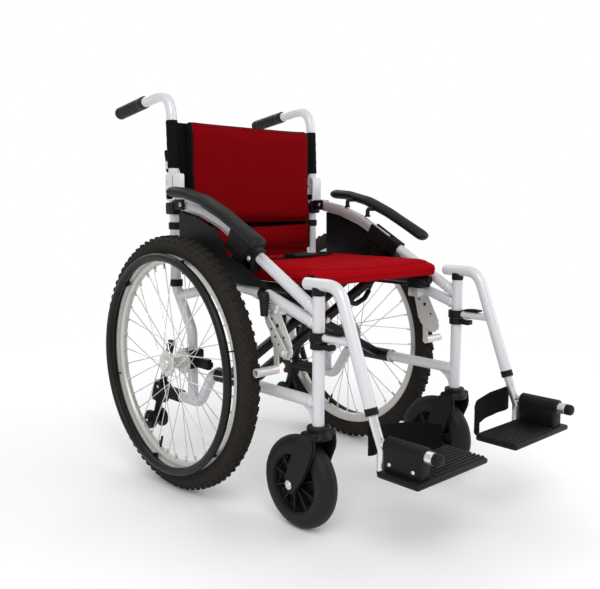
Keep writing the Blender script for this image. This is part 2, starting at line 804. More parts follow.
def wheel_turn(centre: Vector) -> Matrix:
    """Turns a ring in the XY plane into a wheel's plane, with local Z along +X, at a centre."""
    return Matrix.Translation(centre) @ Matrix(((0, 0, 1, 0), (1, 0, 0, 0), (0, 1, 0, 0), (0, 0, 0, 1)))


# Wheels ----------------------------------------------------------------------------------------------
@dataclass
class RearWheel:
    """Knobbly tyre, alloy rim, crossed spokes on a flanged hub, and the black handrim."""

    side: Side
    x: float = 0.300
    tread_r: float = 0.305
    half_width: float = 0.0235
    rim_r: float = 0.260
    rim_inner_r: float = 0.238
    rim_half: float = 0.0125
    handrim_r: float = 0.254
    handrim_tube_r: float = 0.0095
    handrim_x: float = 0.3355
    knobs: int = 78
    spokes: int = 36
    hub_lead: float = math.radians(62)

    @property
    def centre(self) -> Vector:
        """The wheel's centre."""
        return Vector((self.x, AXLE.y, AXLE.z))

    def build(self) -> None:
        """Make the wheel's four pieces."""
        self.tyre()
        self.rim()
        self.hub()
        self.handrim()

    def tyre(self) -> None:
        """The casing with its sidewall lines, and the tread blocks."""
        bench = Bench("tyre", self.side)
        half, top = self.half_width, self.tread_r - 0.0045
        wall = [(self.rim_half - 0.0002, self.rim_r + 0.0003), (0.0165, 0.2625), (0.0205, 0.2672),
                (0.0213, 0.2676), (0.0214, 0.2690), (0.0222, 0.2715), (half - 0.0004, 0.2775),
                (half - 0.0002, 0.2830), (0.0222, 0.2884), (0.0190, 0.2938), (0.0145, 0.2972),
                (0.0080, 0.2996)]
        profile = both_ways(wall, [(0.0, top)])
        bench.lathe(profile, self.centre, TYRE, "X", 96)
        blocks = [knob((0.0085, 0.0120, 0.0085), (-0.0072, 0.0, 0.0178), -0.62),
                  knob((0.0085, 0.0120, 0.0085), (-0.0072, 0.0115, -0.0178), 0.62),
                  knob((0.0060, 0.0085, 0.0070), (0.0014, 0.0040, 0.0092), -0.20),
                  knob((0.0060, 0.0085, 0.0070), (0.0014, 0.0155, -0.0092), 0.20),
                  knob((0.0060, 0.0120, 0.0060), (0.0020, -0.0040, 0.0))]
        tread = Repeater.run(Repeat.RING, joined(blocks), self.knobs, TYRE, radius=top - 0.0014)
        bench.take_mesh(tread, TYRE, wheel_turn(self.centre))
        bench.make("wheel")

    def rim(self) -> None:
        """The double-walled rim with its joint line and the spoke nipples."""
        bench = Bench("rim", self.side)
        half = self.rim_half
        side = [(half, self.rim_r), (half, 0.2560), (half - 0.0008, 0.2552), (half - 0.0008, 0.2490),
                (0.0110, 0.2462), (0.0085, 0.2412), (0.0055, 0.2388)]
        profile = both_ways(side, [(0.0, self.rim_inner_r)])
        profile += [(-half + 0.0022, self.rim_r), (-half + 0.0024, 0.2528), (half - 0.0024, 0.2528),
                    (half - 0.0022, self.rim_r)]
        bench.lathe(profile, self.centre, ALLOY, "X", 108)
        nipple = joined([small_rod((self.rim_inner_r + 0.0010, 0, 0), (self.rim_inner_r - 0.0040, 0, 0),
                                   0.0034, 10),
                         small_rod((self.rim_inner_r, 0, 0), (self.rim_inner_r - 0.0125, 0, 0), 0.0021, 8)])
        ring = Repeater.run(Repeat.RING, nipple, self.spokes, CHROME)
        bench.take_mesh(ring, CHROME, wheel_turn(self.centre))
        valve = math.radians(-72)
        foot = self.centre + Vector((0, math.cos(valve), math.sin(valve))) * (self.rim_inner_r + 0.002)
        tip = self.centre + Vector((0, math.cos(valve), math.sin(valve))) * (self.rim_inner_r - 0.030)
        bench.rod(foot, tip, 0.0030, MOULDING, 12)
        bench.make("wheel")

    def hub(self) -> None:
        """The turned hub and its tangent spokes, nine of each kind."""
        bench = Bench("spoked_hub", self.side)
        profile = [(-0.030, 0.0066), (-0.030, 0.0140), (-0.0285, 0.0150), (-0.0255, 0.0150),
                   (-0.0250, 0.0200), (-0.0245, 0.0295), (-0.0235, 0.0300), (-0.0205, 0.0300),
                   (-0.0195, 0.0292), (-0.0185, 0.0180), (-0.0120, 0.0150), (0.0, 0.0140), (0.0120, 0.0150),
                   (0.0185, 0.0180), (0.0195, 0.0292), (0.0205, 0.0300), (0.0235, 0.0300), (0.0245, 0.0295),
                   (0.0250, 0.0200), (0.0255, 0.0170), (0.0310, 0.0165), (0.0330, 0.0150), (0.0330, 0.0066)]
        bench.lathe(profile, self.centre, ALLOY, "X", 40)
        turn = wheel_turn(self.centre)
        for k in range(4):
            flange = 1 if k % 2 else -1
            lead = 1 if k // 2 else -1
            lift = flange * (0.022 + lead * 0.0018)
            hub_end = (0.0255 * math.cos(lead * self.hub_lead), 0.0255 * math.sin(lead * self.hub_lead), lift)
            spoke = joined([small_rod(hub_end, (self.rim_inner_r - 0.001, 0, flange * 0.003), 0.0011, 8),
                            small_rod((hub_end[0], hub_end[1], lift - 0.0035),
                                      (hub_end[0], hub_end[1], lift + 0.0035), 0.0020, 8)])
            ring = Repeater.run(Repeat.RING, spoke, self.spokes // 4, CHROME,
                                start=2 * math.pi * k / self.spokes)
            bench.take_mesh(ring, CHROME, turn)
        bench.make("wheel")

    def handrim(self) -> None:
        """The push ring on six tabs, each with its screw."""
        bench = Bench("handrim", self.side)
        ring = [(self.handrim_tube_r * math.cos(i * math.pi / 10),
                 self.handrim_r + self.handrim_tube_r * math.sin(i * math.pi / 10)) for i in range(20)]
        bench.lathe(ring, Vector((self.handrim_x, AXLE.y, AXLE.z)), SATIN_BLACK, "X", 120)
        inner = self.x + self.rim_half + 0.0003
        reach = self.handrim_x - inner
        tab = joined([small_block((0.013, 0.003, reach), (self.handrim_r - 0.002, 0, reach / 2), 0.0006),
                      small_rod((self.handrim_r - 0.0085, 0, reach * 0.45),
                                (self.handrim_r - 0.0105, 0, reach * 0.45), 0.0036, 10)])
        tabs = Repeater.run(Repeat.RING, tab, 6, SATIN_BLACK, start=math.radians(105))
        bench.take_mesh(tabs, SATIN_BLACK, wheel_turn(Vector((inner, AXLE.y, AXLE.z))))
        bench.make("wheel")


@dataclass
class Castor:
    """Moulded fork with its bolt, and the smooth castor wheel on a ribbed hub."""

    side: Side
    post_y: float = -0.426
    trail: float = 0.0525
    radius: float = 0.100
    half_width: float = 0.023
    leg_thick: float = 0.009
    ribs: int = 10

    @property
    def centre(self) -> Vector:
        """The castor wheel's centre."""
        return mid(self.post_y + self.trail, self.radius)

    def build(self) -> None:
        """Make the fork and the wheel."""
        self.fork()
        self.wheel()

    def fork(self) -> None:
        """Crown, neck, two tapered legs with a rib down each, and the axle bolt."""
        bench = Bench("castor_fork", self.side)
        y, axle = self.post_y, self.post_y + self.trail
        leg = [(y - 0.0190, 0.2165), (y - 0.022, 0.190), (y + 0.004, 0.130), (axle - 0.0195, 0.089),
               (axle - 0.015, 0.082), (axle - 0.006, 0.080), (axle + 0.004, 0.081), (axle + 0.011, 0.087),
               (axle + 0.0155, 0.104), (axle + 0.008, 0.130), (axle - 0.004, 0.162), (y + 0.0225, 0.2165)]
        inside = self.half_width + 0.003
        for x in (inside, -inside - self.leg_thick):
            bench.plate(leg, FRAME_X + x, self.leg_thick, MOULDING, 0.004, 0.0024)
        bench.block((2 * inside + 0.0178, 0.0396, 0.0170), mid(y, 0.2150), MOULDING, edge=0.006)
        crown = [(0.2070, 0.0), (0.2070, 0.0290), (0.2110, 0.0302), (0.2165, 0.0278), (0.2212, 0.0240),
                 (0.2235, 0.0226), (0.2242, 0.0240), (0.2300, 0.0240), (0.2318, 0.0226), (0.2322, 0.0150),
                 (0.2322, 0.0)]
        bench.lathe(crown, mid(y, 0.0), MOULDING, "Z", 40, closed=False)
        bench.rod(mid(y, 0.2315), mid(y, 0.3000), 0.0094, CHROME, 20)
        bolt = self.centre
        bench.rod(bolt - aside(0.0385), bolt + aside(0.0385), 0.0040, CHROME, 20)
        for way in (1, -1):
            face = bolt + Vector((way * (inside + self.leg_thick), 0, 0))
            bench.rod(face - aside(way * 0.0005), face + aside(way * 0.0012), 0.0095, CHROME, 28,
                      chamfer=0.0004)
            bench.bolt(face + aside(way * 0.0010), "X", way, 0.0062)
        bench.make("fork")

    def wheel(self) -> None:
        """The rounded tyre with its moulding line, and the dished hub with its ribs."""
        bench = Bench("castor_wheel", self.side)
        half = self.half_width
        wall = [(half - 0.002, 0.0655), (half - 0.0012, 0.0680), (half - 0.0003, 0.0720),
                (half - 0.0002, 0.0790), (half - 0.0016, 0.0862), (half - 0.0052, 0.0926), (0.0120, 0.0972),
                (0.0062, 0.0993), (0.0011, self.radius - 0.0002), (0.0008, self.radius)]
        tyre = both_ways(wall)
        bench.lathe(tyre, self.centre, CASTOR_RUBBER, "X", 96)
        dish = [(half, 0.0047), (half, 0.0128), (half - 0.0012, 0.0142), (0.0120, 0.0155), (0.0065, 0.0180),
                (0.0060, 0.0545), (0.0090, 0.0590), (half - 0.0050, 0.0608), (half - 0.0030, 0.0618),
                (half - 0.0030, 0.0652), (half - 0.0048, 0.0660)]
        bench.lathe(both_ways(dish), self.centre, MOULDING, "X", 72)
        rib = small_block((0.0480, 0.0042, 2 * half - 0.0100), (0.0380, 0, 0), 0.0008)
        ribs = Repeater.run(Repeat.RING, rib, self.ribs, MOULDING, start=math.radians(90))
        bench.take_mesh(ribs, MOULDING, wheel_turn(self.centre))
        web = small_block((0.0060, 0.0180, 2 * half - 0.0180), (0.0560, 0, 0), 0.0010)
        webs = Repeater.run(Repeat.RING, web, self.ribs, MOULDING, start=math.radians(90))
        bench.take_mesh(webs, MOULDING, wheel_turn(self.centre))
        bench.make("castor")


# Side frame and what is clamped to it -----------------------------------------------------------------
@dataclass
class SideFrame:
    """The welded side frame, painted pearl white, with its hinge for the folding back."""

    side: Side
    post_y: float = -0.426
    rear_low_y: float = 0.021
    rear_top_y: float = 0.089
    lower_z: float = 0.280
    rear_rail_z: float = 0.196
    seat_tube: tuple[Flat, ...] = ((0.070, 0.455), (-0.060, 0.484), (-0.170, 0.4975), (-0.268, 0.488),
                                   (-0.426, 0.440))
    socket: Flat = (-0.200, 0.590)
    slope: float = math.radians(29.0)
    hinge_z: float = 0.735

    def stay(self, along: float, across: float = 0.0, x: float = FRAME_X) -> Vector:
        """A point in the armrest socket's directions: forwards and down the stay, and square to it."""
        return at(x, self.socket[0] - along * math.cos(self.slope) - across * math.sin(self.slope),
                  self.socket[1] - along * math.sin(self.slope) + across * math.cos(self.slope))

    def build(self) -> None:
        """Make the frame and everything fixed to it."""
        self.tubes()
        self.axle_carrier()
        self.armrest_socket()
        self.saddles()
        self.clips()

    def weld(self, bench: Bench, place: Vector, way: Vector, radius: float = TUBE_R) -> None:
        """A low bead round a tube where it is welded to another.

        Args:
            bench: the piece it is part of.
            place: the bead's centre, on the tube's line.
            way: the tube's direction.
            radius: the tube's radius.
        """
        way = way.normalized()
        points = [place - way * 0.0032, place - way * 0.0012, place + way * 0.0012, place + way * 0.0032]
        bench.sweep(points, radius, PEARL, sides=24, swell=lambda t: 1.02 + 0.11 * math.sin(math.pi * t))

    def tubes(self) -> None:
        """Posts, rails, stay, gusset, collar, stop arm and hinges."""
        bench = Bench("side_frame", self.side)
        post = mid(self.post_y, 0)
        bench.rod(post + Vector((0, 0, 0.2325)), post + Vector((0, 0, 0.500)), TUBE_R, PEARL, 28,
                  chamfer=0.001)
        bench.sweep(line([(0.105, self.rear_rail_z), (-0.010, self.rear_rail_z), (-0.066, self.lower_z),
                          (self.post_y, self.lower_z)]), TUBE_R, PEARL, 0.04, 24)
        bench.sweep(line(self.seat_tube), TUBE_R, PEARL, 0.12, 24)
        bench.sweep(line([(self.rear_low_y, self.rear_rail_z), (self.rear_low_y, 0.372),
                          (self.rear_top_y - 0.004, 0.472), (self.rear_top_y, 0.520),
                          (self.rear_top_y, 0.7137)]),
                    TUBE_R, PEARL, 0.05, 24)
        bench.sweep([self.stay(0.020), self.stay(0.258)], TUBE_R, PEARL, sides=24)
        corner = [(self.post_y + 0.006, 0.276), (-0.372, 0.276), (-0.384, 0.2660), (-0.3960, 0.2590),
                  (-0.4060, 0.2480), (-0.4100, 0.2360), (self.post_y + 0.006, 0.2360)]
        bench.plate(corner, FRAME_X - 0.003, 0.006, PEARL, 0.0, 0.0012)
        bench.lathe([(-0.007, TUBE_R - 0.002), (-0.007, 0.0168), (-0.0062, 0.0175), (0.0062, 0.0175),
                     (0.007, 0.0168), (0.007, TUBE_R - 0.002)], post + Vector((0, 0, 0.399)), MOULDING, "Z",
                     36)
        bench.block((0.020, 0.030, 0.012), mid(self.post_y - 0.026, 0.399), MOULDING, edge=0.003)
        bench.rod(mid(self.post_y - 0.030, 0.4040), mid(self.post_y - 0.030, 0.4076), 0.0042, CHROME)
        for place, way in (((self.post_y + 0.0150, self.lower_z), (0, 1, 0)), ((self.post_y + 0.0150, 0.4446),
                           (0, 0.9571, 0.2898)), ((self.rear_low_y, self.rear_rail_z + 0.0160), (0, 0, 1)),
                           ((0.0560, 0.4580), (0, 0.976, -0.218))):
            self.weld(bench, mid(*place), Vector(way))
        self.weld(bench, self.stay(0.2280), Vector((0, -math.cos(self.slope), -math.sin(self.slope))))
        self.hinges(bench)
        bench.make("frame")

    def hinges(self, bench: Bench) -> None:
        """The open collar that the back folds in, and the forked ears of the armrest.

        Args:
            bench: the side frame they are part of.
        """
        y, pin = self.rear_top_y, 0.680
        for x in (FRAME_X - 0.0165, FRAME_X + 0.0133):
            bench.plate([(y - 0.0215, 0.690), (y + 0.0142, 0.690), (y + 0.0142, 0.757), (y - 0.0215, 0.757)],
                        x, 0.0032, PEARL, 0.005, 0.0009)
        bench.block((0.0330, 0.0060, 0.0660), mid(y - 0.0182, 0.7232), PEARL, edge=0.002)
        bench.block((0.0330, 0.0350, 0.0240), mid(y - 0.0036, 0.7015), PEARL, edge=0.004)
        for way in (1, -1):
            bench.bolt(at(FRAME_X + way * 0.0160, y, self.hinge_z), "X", way, 0.0058)
        bench.block((0.034, 0.036, 0.030), mid(y - 0.001, pin - 0.009), MOULDING, edge=0.005)
        for way in (1, -1):
            bench.block((0.0057, 0.050, 0.026), at(FRAME_X + way * 0.01115, 0.056, pin), MOULDING,
                        edge=0.0025)
            bench.bolt(at(FRAME_X + way * 0.0120, 0.045, pin), "X", way, 0.0056)

    def axle_carrier(self) -> None:
        """The drilled bar and split clamp that hold the rear axle."""
        bench = Bench("axle_carrier", self.side)
        holes = tuple((y, AXLE.z, 0.0060) for y in (-0.040, -0.065))
        bench.plate([(0.045, AXLE.z - 0.012), (-0.085, AXLE.z - 0.012), (-0.085, AXLE.z + 0.012),
                     (0.045, AXLE.z + 0.012)], 0.2485, 0.014, MOULDING, 0.006, 0.0014, holes)
        for shift in (-0.0118, 0.0118):
            bench.block((0.045, 0.044, 0.0220),
                        at(FRAME_X + 0.0045, self.rear_low_y - 0.003, AXLE.z + shift), MOULDING, edge=0.004)
        bench.block((0.041, 0.041, 0.0060), at(FRAME_X + 0.0045, self.rear_low_y - 0.003, AXLE.z), MOULDING,
                    edge=0.001)
        bench.rod(at(0.222, 0, AXLE.z), at(0.3325, 0, AXLE.z), 0.0060, CHROME, 24)
        bench.rod(at(0.3310, 0, AXLE.z), at(0.3335, 0, AXLE.z), 0.0064, CHROME, 6, chamfer=0.0005)
        for z in (-0.014, 0.014):
            bench.bolt(at(0.2620, self.rear_low_y - 0.003, AXLE.z + z), "X", 1, 0.0048)
            bench.bolt(at(0.2172, self.rear_low_y - 0.003, AXLE.z + z), "X", -1, 0.0048)
        bench.make("frame")

    def armrest_socket(self) -> None:
        """The latch socket that the armrest drops into, on its leg."""
        bench = Bench("armrest_socket", self.side)
        for way in (1, -1):
            bench.block((0.0062, 0.108, 0.052), self.stay(-0.004, -0.011, FRAME_X + way * 0.01140), MOULDING,
                        self.slope, edge=0.0028)
        bench.block((0.0290, 0.108, 0.0180), self.stay(-0.004, -0.0280), MOULDING, self.slope, edge=0.003)
        bench.block((0.0290, 0.0370, 0.0520), self.stay(0.0310, -0.0110), MOULDING, self.slope, edge=0.004)
        bench.block((0.014, 0.030, 0.064), mid(-0.163, 0.5435), MOULDING, edge=0.003)
        bench.bolt(self.stay(0.0320, -0.0110, FRAME_X + 0.0142), "X", 1, 0.0056)
        bench.make("frame")
        button = Bench("armrest_button", self.side)
        button.lathe([(-0.0113, 0.0), (-0.0113, 0.0057), (-0.0012, 0.0060), (-0.0004, 0.0056), (0.0, 0.0046),
                      (0.0, 0.0)], self.stay(-0.040, -0.027, 0.2493), CHROME, "X", 28, closed=False)
        button.make("armrest_button")

    def saddles(self) -> None:
        """The cups that the folding seat rail drops into."""
        bench = Bench("seat_saddles", self.side)
        for y in (-0.335, -0.030):
            bench.block((0.0160, 0.040, 0.0230), at(0.2150, y, 0.4882), MOULDING, edge=0.003)
            bench.block((0.0080, 0.040, 0.0200), at(0.1848 - 0.0030, y, 0.4866), MOULDING, edge=0.002)
            bench.block((0.0400, 0.040, 0.0095), at(0.2000, y, 0.4812), MOULDING, edge=0.003)
        bench.block((0.008, 0.300, 0.008), at(0.2085, -0.1825, 0.4820), MOULDING, edge=0.002)
        bench.make("frame")

    def clips(self) -> None:
        """Moulded clips round the rear post and the seat tube."""
        bench = Bench("tube_clips", self.side)
        for z in (0.6280, 0.4860):
            y = self.rear_top_y - (0.0 if z > 0.5 else 0.0030)
            bench.rod(mid(y, z - 0.009), mid(y, z + 0.009), 0.0156, MOULDING, 28, chamfer=0.0015)
        bench.rod(mid(-0.2500, 0.4907), mid(-0.2680, 0.4878), 0.0158, MOULDING, 28, chamfer=0.0015)
        bench.make("frame", stands=False)


@dataclass
class Brake:
    """Push-to-lock brake: zinc bracket, hand lever with its knob, and the shoe ahead of the tyre."""

    side: Side
    lever_pivot: Flat = (-0.345, 0.375)
    shoe_pivot: Flat = (-0.316, 0.392)
    shoe: Flat = (-0.3193, 0.335)
    shoe_r: float = 0.0095

    def build(self) -> None:
        """Make the bracket, the lever and the shoe."""
        bench = Bench("brake_bracket", self.side)
        bench.plate([(-0.280, 0.462), (-0.322, 0.462), (-0.366, 0.385), (-0.360, 0.360), (-0.330, 0.358),
                     (-0.300, 0.385)], 0.2482, 0.0028, ZINC, 0.006, 0.0006,
                    ((-0.318, 0.428, 0.0045), (-0.300, 0.440, 0.0030), (-0.338, 0.405, 0.0030)))
        bench.block((0.028, 0.034, 0.022), at(0.2370, -0.300, 0.4595), ZINC, edge=0.003)
        bench.rod(at(0.2484, *self.lever_pivot), at(0.2612, *self.lever_pivot), 0.0040, ZINC, 20)
        bench.rod(at(0.2484, *self.shoe_pivot), at(0.2564, *self.shoe_pivot), 0.0040, ZINC, 20)
        bench.bolt(at(0.2606, *self.lever_pivot), "X", 1, 0.0058)
        for y in (-0.290, -0.310):
            bench.bolt(at(0.2508, y, 0.4560), "X", 1, 0.0044)
        bench.make("frame")

        lever = Bench("brake_lever", self.side)
        lever.plate([(-0.353, 0.363), (-0.337, 0.367), (-0.286, 0.436), (-0.286, 0.470), (-0.298, 0.470),
                     (-0.298, 0.448), (-0.356, 0.380)], 0.2568, 0.0030, ZINC, 0.004, 0.0007,
                    ((-0.321, 0.406, 0.0028), (-0.309, 0.421, 0.0028), (-0.332, 0.391, 0.0024)))
        lever.lathe([(-0.026, 0.0), (-0.026, 0.0070), (-0.0245, 0.0085), (-0.012, 0.0092), (0.002, 0.0104),
                     (0.012, 0.0113), (0.018, 0.0110), (0.0235, 0.0088), (0.0262, 0.0050), (0.027, 0.0)],
                    at(0.2650, -0.292, 0.473), SOFT_GRIP, "Z", 36, closed=False)
        lever.make("brake_lever")

        shoe = Bench("brake_shoe", self.side)
        shoe.plate([(-0.308, 0.392), (-0.316, 0.400), (-0.324, 0.392), (-0.327, 0.335), (-0.319, 0.3275),
                    (-0.3115, 0.335)], 0.2525, 0.0030, ZINC, 0.003, 0.0007)
        y, z = self.shoe
        wall = [(0.0, 0.0), (0.0, self.shoe_r), (0.0580, self.shoe_r), (0.0585, self.shoe_r - 0.0008),
                (0.0585, self.shoe_r - 0.0026), (0.0070, self.shoe_r - 0.003), (0.0070, 0.0)]
        shoe.lathe(wall, at(0.2535, y, z), ZINC, "X", 36, closed=False)
        shoe.make("brake_shoe")


@dataclass
class Armrest:
    """Swing-up armrest: oval tube, moulded pad on two feet, and the skirt guard."""

    side: Side
    pivot: Flat = (0.045, 0.680)
    width: float = 0.016
    height: float = 0.030
    pad_x: float = 0.2755
    pad_width: float = 0.044
    pad_thick: float = 0.026
    guard_x: float = 0.2500

    def build(self) -> None:
        """Make the tube, pad, feet and guard."""
        self.tube()
        self.pad()
        self.guard()

    def tube(self) -> None:
        """The flattened tube from the pivot's eye to the latch."""
        bench = Bench("armrest_tube", self.side)
        end = SideFrame(self.side).stay(0.004)
        path = line([(self.pivot[0] - 0.006, self.pivot[1] - 0.002), (-0.030, 0.665),
                     (-0.105, 0.6395)]) + [end]
        bench.sweep(path, self.height / 2, SILVER, 0.12, 28, flatten=(self.width / self.height, 1.0))
        x = FRAME_X
        bench.rod(at(x - 0.0078, *self.pivot), at(x + 0.0078, *self.pivot), 0.0150, SILVER, 36,
                  chamfer=0.0012)
        bench.make("armrest")

    def pad(self) -> None:
        """The long moulded pad, wider in the middle and turned down at its front."""
        path = line([(0.042, 0.7115), (-0.022, 0.7070), (-0.095, 0.6905), (-0.170, 0.6595), (-0.240, 0.6245),
                     (-0.296, 0.5955)], self.pad_x)
        fine = rounded(path, 0.10, 10)

        def taper(t: float) -> float:
            """Rounded ends and a slight waist."""
            left = min(t, 1.0 - t) / 0.055
            ends = math.sqrt(max(0.0, 1.0 - (1.0 - left) ** 2)) if left < 1.0 else 1.0
            return 0.28 + 0.72 * ends * (0.96 + 0.04 * math.cos(4 * math.pi * t))
        bench = Bench("armrest_pad", self.side)
        bench.sweep(spaced(fine, 72), self.pad_thick / 2, SOFT_GRIP, 0.0, 28,
                    flatten=(self.pad_width / self.pad_thick, 1.0), swell=taper)
        pad = bench.make("armrest")
        feet = Bench("armrest_pad_feet", self.side)
        for y, top, bottom in ((-0.055, 0.694, 0.6738), (-0.130, 0.669, 0.6488)):
            feet.sweep([mid(y, bottom), mid(y, top), at(self.pad_x, y, top)], 0.0056, MOULDING, 0.008, 16)
            feet.rod(mid(y, bottom - 0.001), mid(y, bottom + 0.004), 0.0078, MOULDING, 20)
        feet.make("armrest", stands=False)

    def guard(self) -> None:
        """The thin side panel, with the two blocks that hold it to the tube."""
        bench = Bench("skirt_guard", self.side)
        outline = [(0.042, 0.512), (0.044, 0.664), (-0.030, 0.650), (-0.105, 0.624), (-0.128, 0.606),
                   (-0.142, 0.568), (-0.170, 0.562), (-0.235, 0.534), (-0.290, 0.509), (-0.280, 0.503)]
        bench.plate(outline, self.guard_x, 0.0020, MOULDING, 0.005, 0.0004)
        inner = FRAME_X + self.width / 2 + 0.0003
        for y, z in ((-0.020, 0.6490), (-0.095, 0.6240)):
            bench.block((self.guard_x - inner + 0.0010, 0.018, 0.010),
                        at((inner + self.guard_x + 0.001) / 2, y, z), MOULDING, edge=0.002)
        bench.make("armrest")


@dataclass
class BackPost:
    """Fold-down upper back post with its ribbed push grip, release lever and black sleeve."""

    side: Side
    y: float = 0.089
    hinge_z: float = 0.735
    grip_reach: float = 0.350
    grip_r: float = 0.016
    grip_length: float = 0.135
    grip_z: float = 0.922
    grip_way: Vector = field(default_factory=lambda: Vector((0, -0.99, 0.14)).normalized())

    @property
    def grip_end(self) -> Vector:
        """The rear end of the grip."""
        return mid(self.grip_reach - self.grip_r * 0.14, self.grip_z)

    def build(self) -> None:
        """Make the post, grip, lever and sleeve."""
        self.post()
        self.grip()
        self.lever()
        self.sleeve()

    def post(self) -> None:
        """The bent tube, its hinge boss and the lever's ears."""
        bench = Bench("back_post", self.side)
        reach = (self.grip_end.y - AXLE.y - self.y - 0.007) / -self.grip_way.y
        path = [mid(self.y, self.hinge_z - TUBE_R), mid(self.y + 0.002, 0.800),
                self.grip_end + self.grip_way * reach, self.grip_end + self.grip_way * 0.006]
        path[2] = path[2] - Vector((0, 0, 0.0018))
        bench.sweep(path, TUBE_R, PEARL, 0.060, 24)
        for way in (1, -1):
            bench.block((0.0036, 0.014, 0.018),
                        at(FRAME_X + way * 0.0082, self.y + 0.0165, self.hinge_z + 0.042), PEARL, edge=0.001)
            bench.bolt(at(FRAME_X + way * 0.0098, self.y + 0.019, self.hinge_z + 0.042), "X", way, 0.0032)
        bench.make("back")

    def grip(self) -> None:
        """The soft grip with finger ribs and a domed end."""
        bench = Bench("push_grip", self.side)
        outer = [(0.0, 0.0100), (0.0006, 0.0128), (0.0025, 0.0152), (0.0050, self.grip_r)]
        start = 0.020
        while start < self.grip_length - 0.020:
            outer += [(start, self.grip_r), (start + 0.0012, self.grip_r - 0.0007),
                      (start + 0.0048, self.grip_r - 0.0007), (start + 0.0060, self.grip_r)]
            start += 0.0120
        outer += [(self.grip_length - 0.008, self.grip_r), (self.grip_length - 0.006, self.grip_r - 0.0004),
                  (self.grip_length - 0.001, self.grip_r - 0.0006), (self.grip_length, self.grip_r - 0.0022)]
        profile = [(0.0, 0.0)] + outer + [(self.grip_length, TUBE_R + 0.0002), (0.006, TUBE_R + 0.0002),
                                          (0.006, 0.0)]
        solid = Bench("grip")
        solid.lathe(profile, Vector(), SOFT_GRIP, "Z", 40, closed=False)
        solid.shape.transform(Matrix.Translation(self.grip_end) @ self.grip_way.to_track_quat("Z", "Y")
                              .to_matrix().to_4x4())
        bench.take(solid.shape, SOFT_GRIP)
        bench.make("back")

    def lever(self) -> None:
        """The short lever that frees the folding back."""
        bench = Bench("back_release_lever", self.side)
        y = self.y
        bench.plate([(y + 0.0155, 0.762), (y + 0.0250, 0.7585), (y + 0.0290, 0.762), (y + 0.0285, 0.780),
                     (y + 0.0345, 0.806), (y + 0.0330, 0.8145), (y + 0.0272, 0.8155), (y + 0.0224, 0.792),
                     (y + 0.0188, 0.772)],
                    FRAME_X - 0.0058, 0.0116, MOULDING, 0.0025, 0.0018)
        bench.make("back_release")

    def sleeve(self) -> None:
        """The cloth sleeve that holds the sling to the post."""
        bench = Bench("back_sleeve", self.side)
        path = [mid(self.y + 0.0010, 0.7690), mid(self.y + 0.0020, 0.8000),
                mid(self.y + 0.0040, 0.8480), mid(self.y + 0.0056, 0.8850)]
        fine = spaced(path, 24)
        bench.sweep(fine, 0.0146, BLACK_CLOTH, 0.0, 28,
                    swell=lambda t: 1.0 + 0.020 * math.sin(9 * math.pi * t) - 0.05 * (t < 0.03 or t > 0.97))
        bench.make("back", stands=False)


